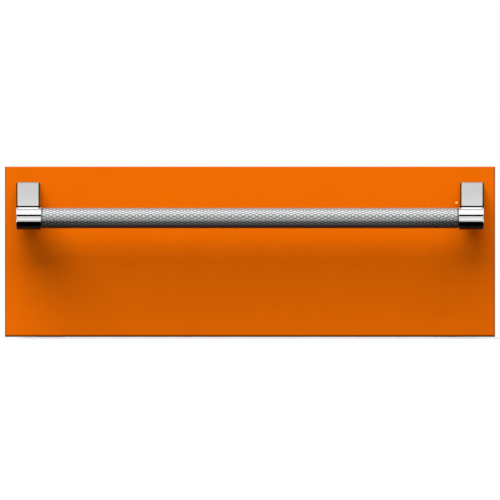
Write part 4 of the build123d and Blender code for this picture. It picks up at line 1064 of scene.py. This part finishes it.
def card(name, corners, stops, axis="Z"):
    """A studio card that only mirrors see, which gives polished metal its light and dark bands.

    stops are its shades: one number, or (place along the axis, shade) pairs.
    """
    piece = new_object(name, plain_mesh(name, corners, [(0, 1, 2, 3)]))
    tree = bare_tree(piece)
    shade = stops
    if not isinstance(stops, float):
        start, end = stops[0][0], stops[-1][0]
        place = tree.nodes.new("ShaderNodeNewGeometry").outputs["Position"]
        along = combine(tree, "SeparateXYZ", place).node.outputs[axis]
        node = tree.nodes.new("ShaderNodeFloatCurve")
        feed(tree, node.inputs["Value"], combine(tree, "MapRange", along, start, end))
        curve = node.mapping.curves[0]
        for point, (at, tone) in zip(curve.points, (stops[0], stops[-1])):
            point.location = ((at - start) / (end - start), tone)
        for at, tone in stops[1:-1]:
            curve.points.new((at - start) / (end - start), tone)
        shade = node.outputs[0]
    strength = calculate(tree, "MULTIPLY", seen_directly(tree), shade)
    combine(tree, "OutputMaterial", combine(tree, "Emission", WHITE, strength))
    for kind in ("camera", "diffuse", "shadow", "transmission", "volume_scatter"):
        setattr(piece, f"visible_{kind}", False)


def across(x0, x1, start, end):
    """The corners of a rectangle from x0 to x1, between the (y, z) of two of its edges."""
    return [(x0, *start), (x1, *start), (x1, *end), (x0, *end)]


def lay_floor():
    """A pale floor that keeps the object's shadow, and sends little light back up."""
    corners = across(-FLOOR_REACH, FLOOR_REACH, (-FLOOR_REACH, 0.0), (FLOOR_REACH, 0.0))
    floor = new_object("floor", plain_mesh("floor", corners, [(0, 1, 2, 3)]))
    tree = bare_tree(floor)
    lit, dim = (combine(tree, "BsdfDiffuse", (tone, tone, tone)) for tone in (FLOOR_LIT, FLOOR_BOUNCE))
    pale = combine(tree, "AddShader", lit, combine(tree, "Emission", WHITE, FLOOR_GLOW))
    combine(tree, "OutputMaterial", combine(tree, "MixShader", seen_directly(tree), dim, pale))


def studio():
    """The floor, the lamps, and the cards around the handle."""
    lay_floor()
    light_world(AMBIENT)
    for lamp in LAMPS:
        soft_sun(*lamp)
    grip_at = middle_of("handle_bar")

    def ahead(elevation, distance):
        """The y and z of a point this far from the grip, in front of it and this many degrees up."""
        turn = math.radians(elevation)
        return grip_at.y - distance * math.cos(turn), grip_at.z + distance * math.sin(turn)

    for name, (start, end, distance, shade) in HIGH_CARDS.items():
        card(name, across(-HIGH_REACH, HIGH_REACH, ahead(start, distance), ahead(end, distance)), shade)
    y, top = grip_at.y - FRONT_AT, FRONT_SHADES[-1][0]
    card("front_card", across(-FRONT_REACH, FRONT_REACH, (y, 0.0), (y, top)), FRONT_SHADES)
    far, dark, close = [grip_at.y - grip_at.z / math.tan(math.radians(turn)) for turn in FLOOR_CARD_TURNS]
    shades = [(far + share * (dark - far), shade) for share, shade in FLOOR_CARD_SHADES]
    z, (y2, y3), top = FLOOR_CARD_Z, SIDE_YS, SIDE_SHADES[-1][0]
    for side, hand in ((-1, "left"), (1, "right")):
        x0, x1 = sorted(side * x for x in FLOOR_CARD_XS)
        for name, y0, y1, stops in (("floor_card", far, dark, shades), ("floor_flag", dark, close, 0.0)):
            card(f"{name}_{hand}", across(x0, x1, (y0, z), (y1, z)), stops, "Y")
        x = side * SIDE_X
        card(f"side_flag_{hand}", [(x, y2, 0.0), (x, y3, 0.0), (x, y3, top), (x, y2, top)], SIDE_SHADES)


def camera():
    """A straight view of the front, as wide as the photograph's frame at the panel's face."""
    data = bpy.data.cameras.new("camera")
    data.sensor_width = SENSOR
    data.lens = SENSOR * VIEW_DISTANCE / VIEW_WIDTH
    data.clip_end = VIEW_END
    eye = new_object("camera", data)
    eye.location = (0.0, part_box("front_skin")[0].y - VIEW_DISTANCE, VIEW_Z)
    eye.rotation_euler = (math.pi / 2, 0.0, 0.0)
    bpy.context.scene.camera = eye


def dress_nodes():
    """Gives every CAD node the finish of its slot, or its plating."""
    for part in frame["record"]["subparts"]:
        node, finish = part["node"], part["material_slot"]
        if node.startswith(PLATED):
            finish = "plated_steel"
        elif node == RUNNERS:
            finish = "painted_light_runner_steel"
        mesh = NODES[node].data
        mesh.materials.clear()
        mesh.materials.append(looks[finish])


orange_enamel()
polished_steel()
knurled_steel()
brushed_stainless()
zinc_steel()
plastic("black_plastic", (0.014, 0.014, 0.015), (0.024, 0.024, 0.026), 0.48)
plastic("grey_plastic", (0.30, 0.31, 0.32), (0.38, 0.39, 0.40), 0.42)
lit_amber()
board_green()
silicone()
fibre()
element_sheath()
ceramic_white()
plated_steel("plated_steel", (0.60, 0.62, 0.66), (0.70, 0.71, 0.72), 0.22)
# A near-white copy of the plating, as painted light that keeps the runners' shaded fronts pale.
plated_steel("painted_light_runner_steel", (0.92, 0.92, 0.93), (0.97, 0.97, 0.97), 0.03)

dress_nodes()
grip()
status_lens()
pan()
rack()
for hand in (-1, 1):
    for row in BALL_ROWS:
        ball_cage(row, hand)
element()
hexagon_screws()
key_prints()
level_lamps()
power_board()
key_board()
terminals()
studio()
camera()

bpy.context.scene.view_settings.view_transform = "Standard"
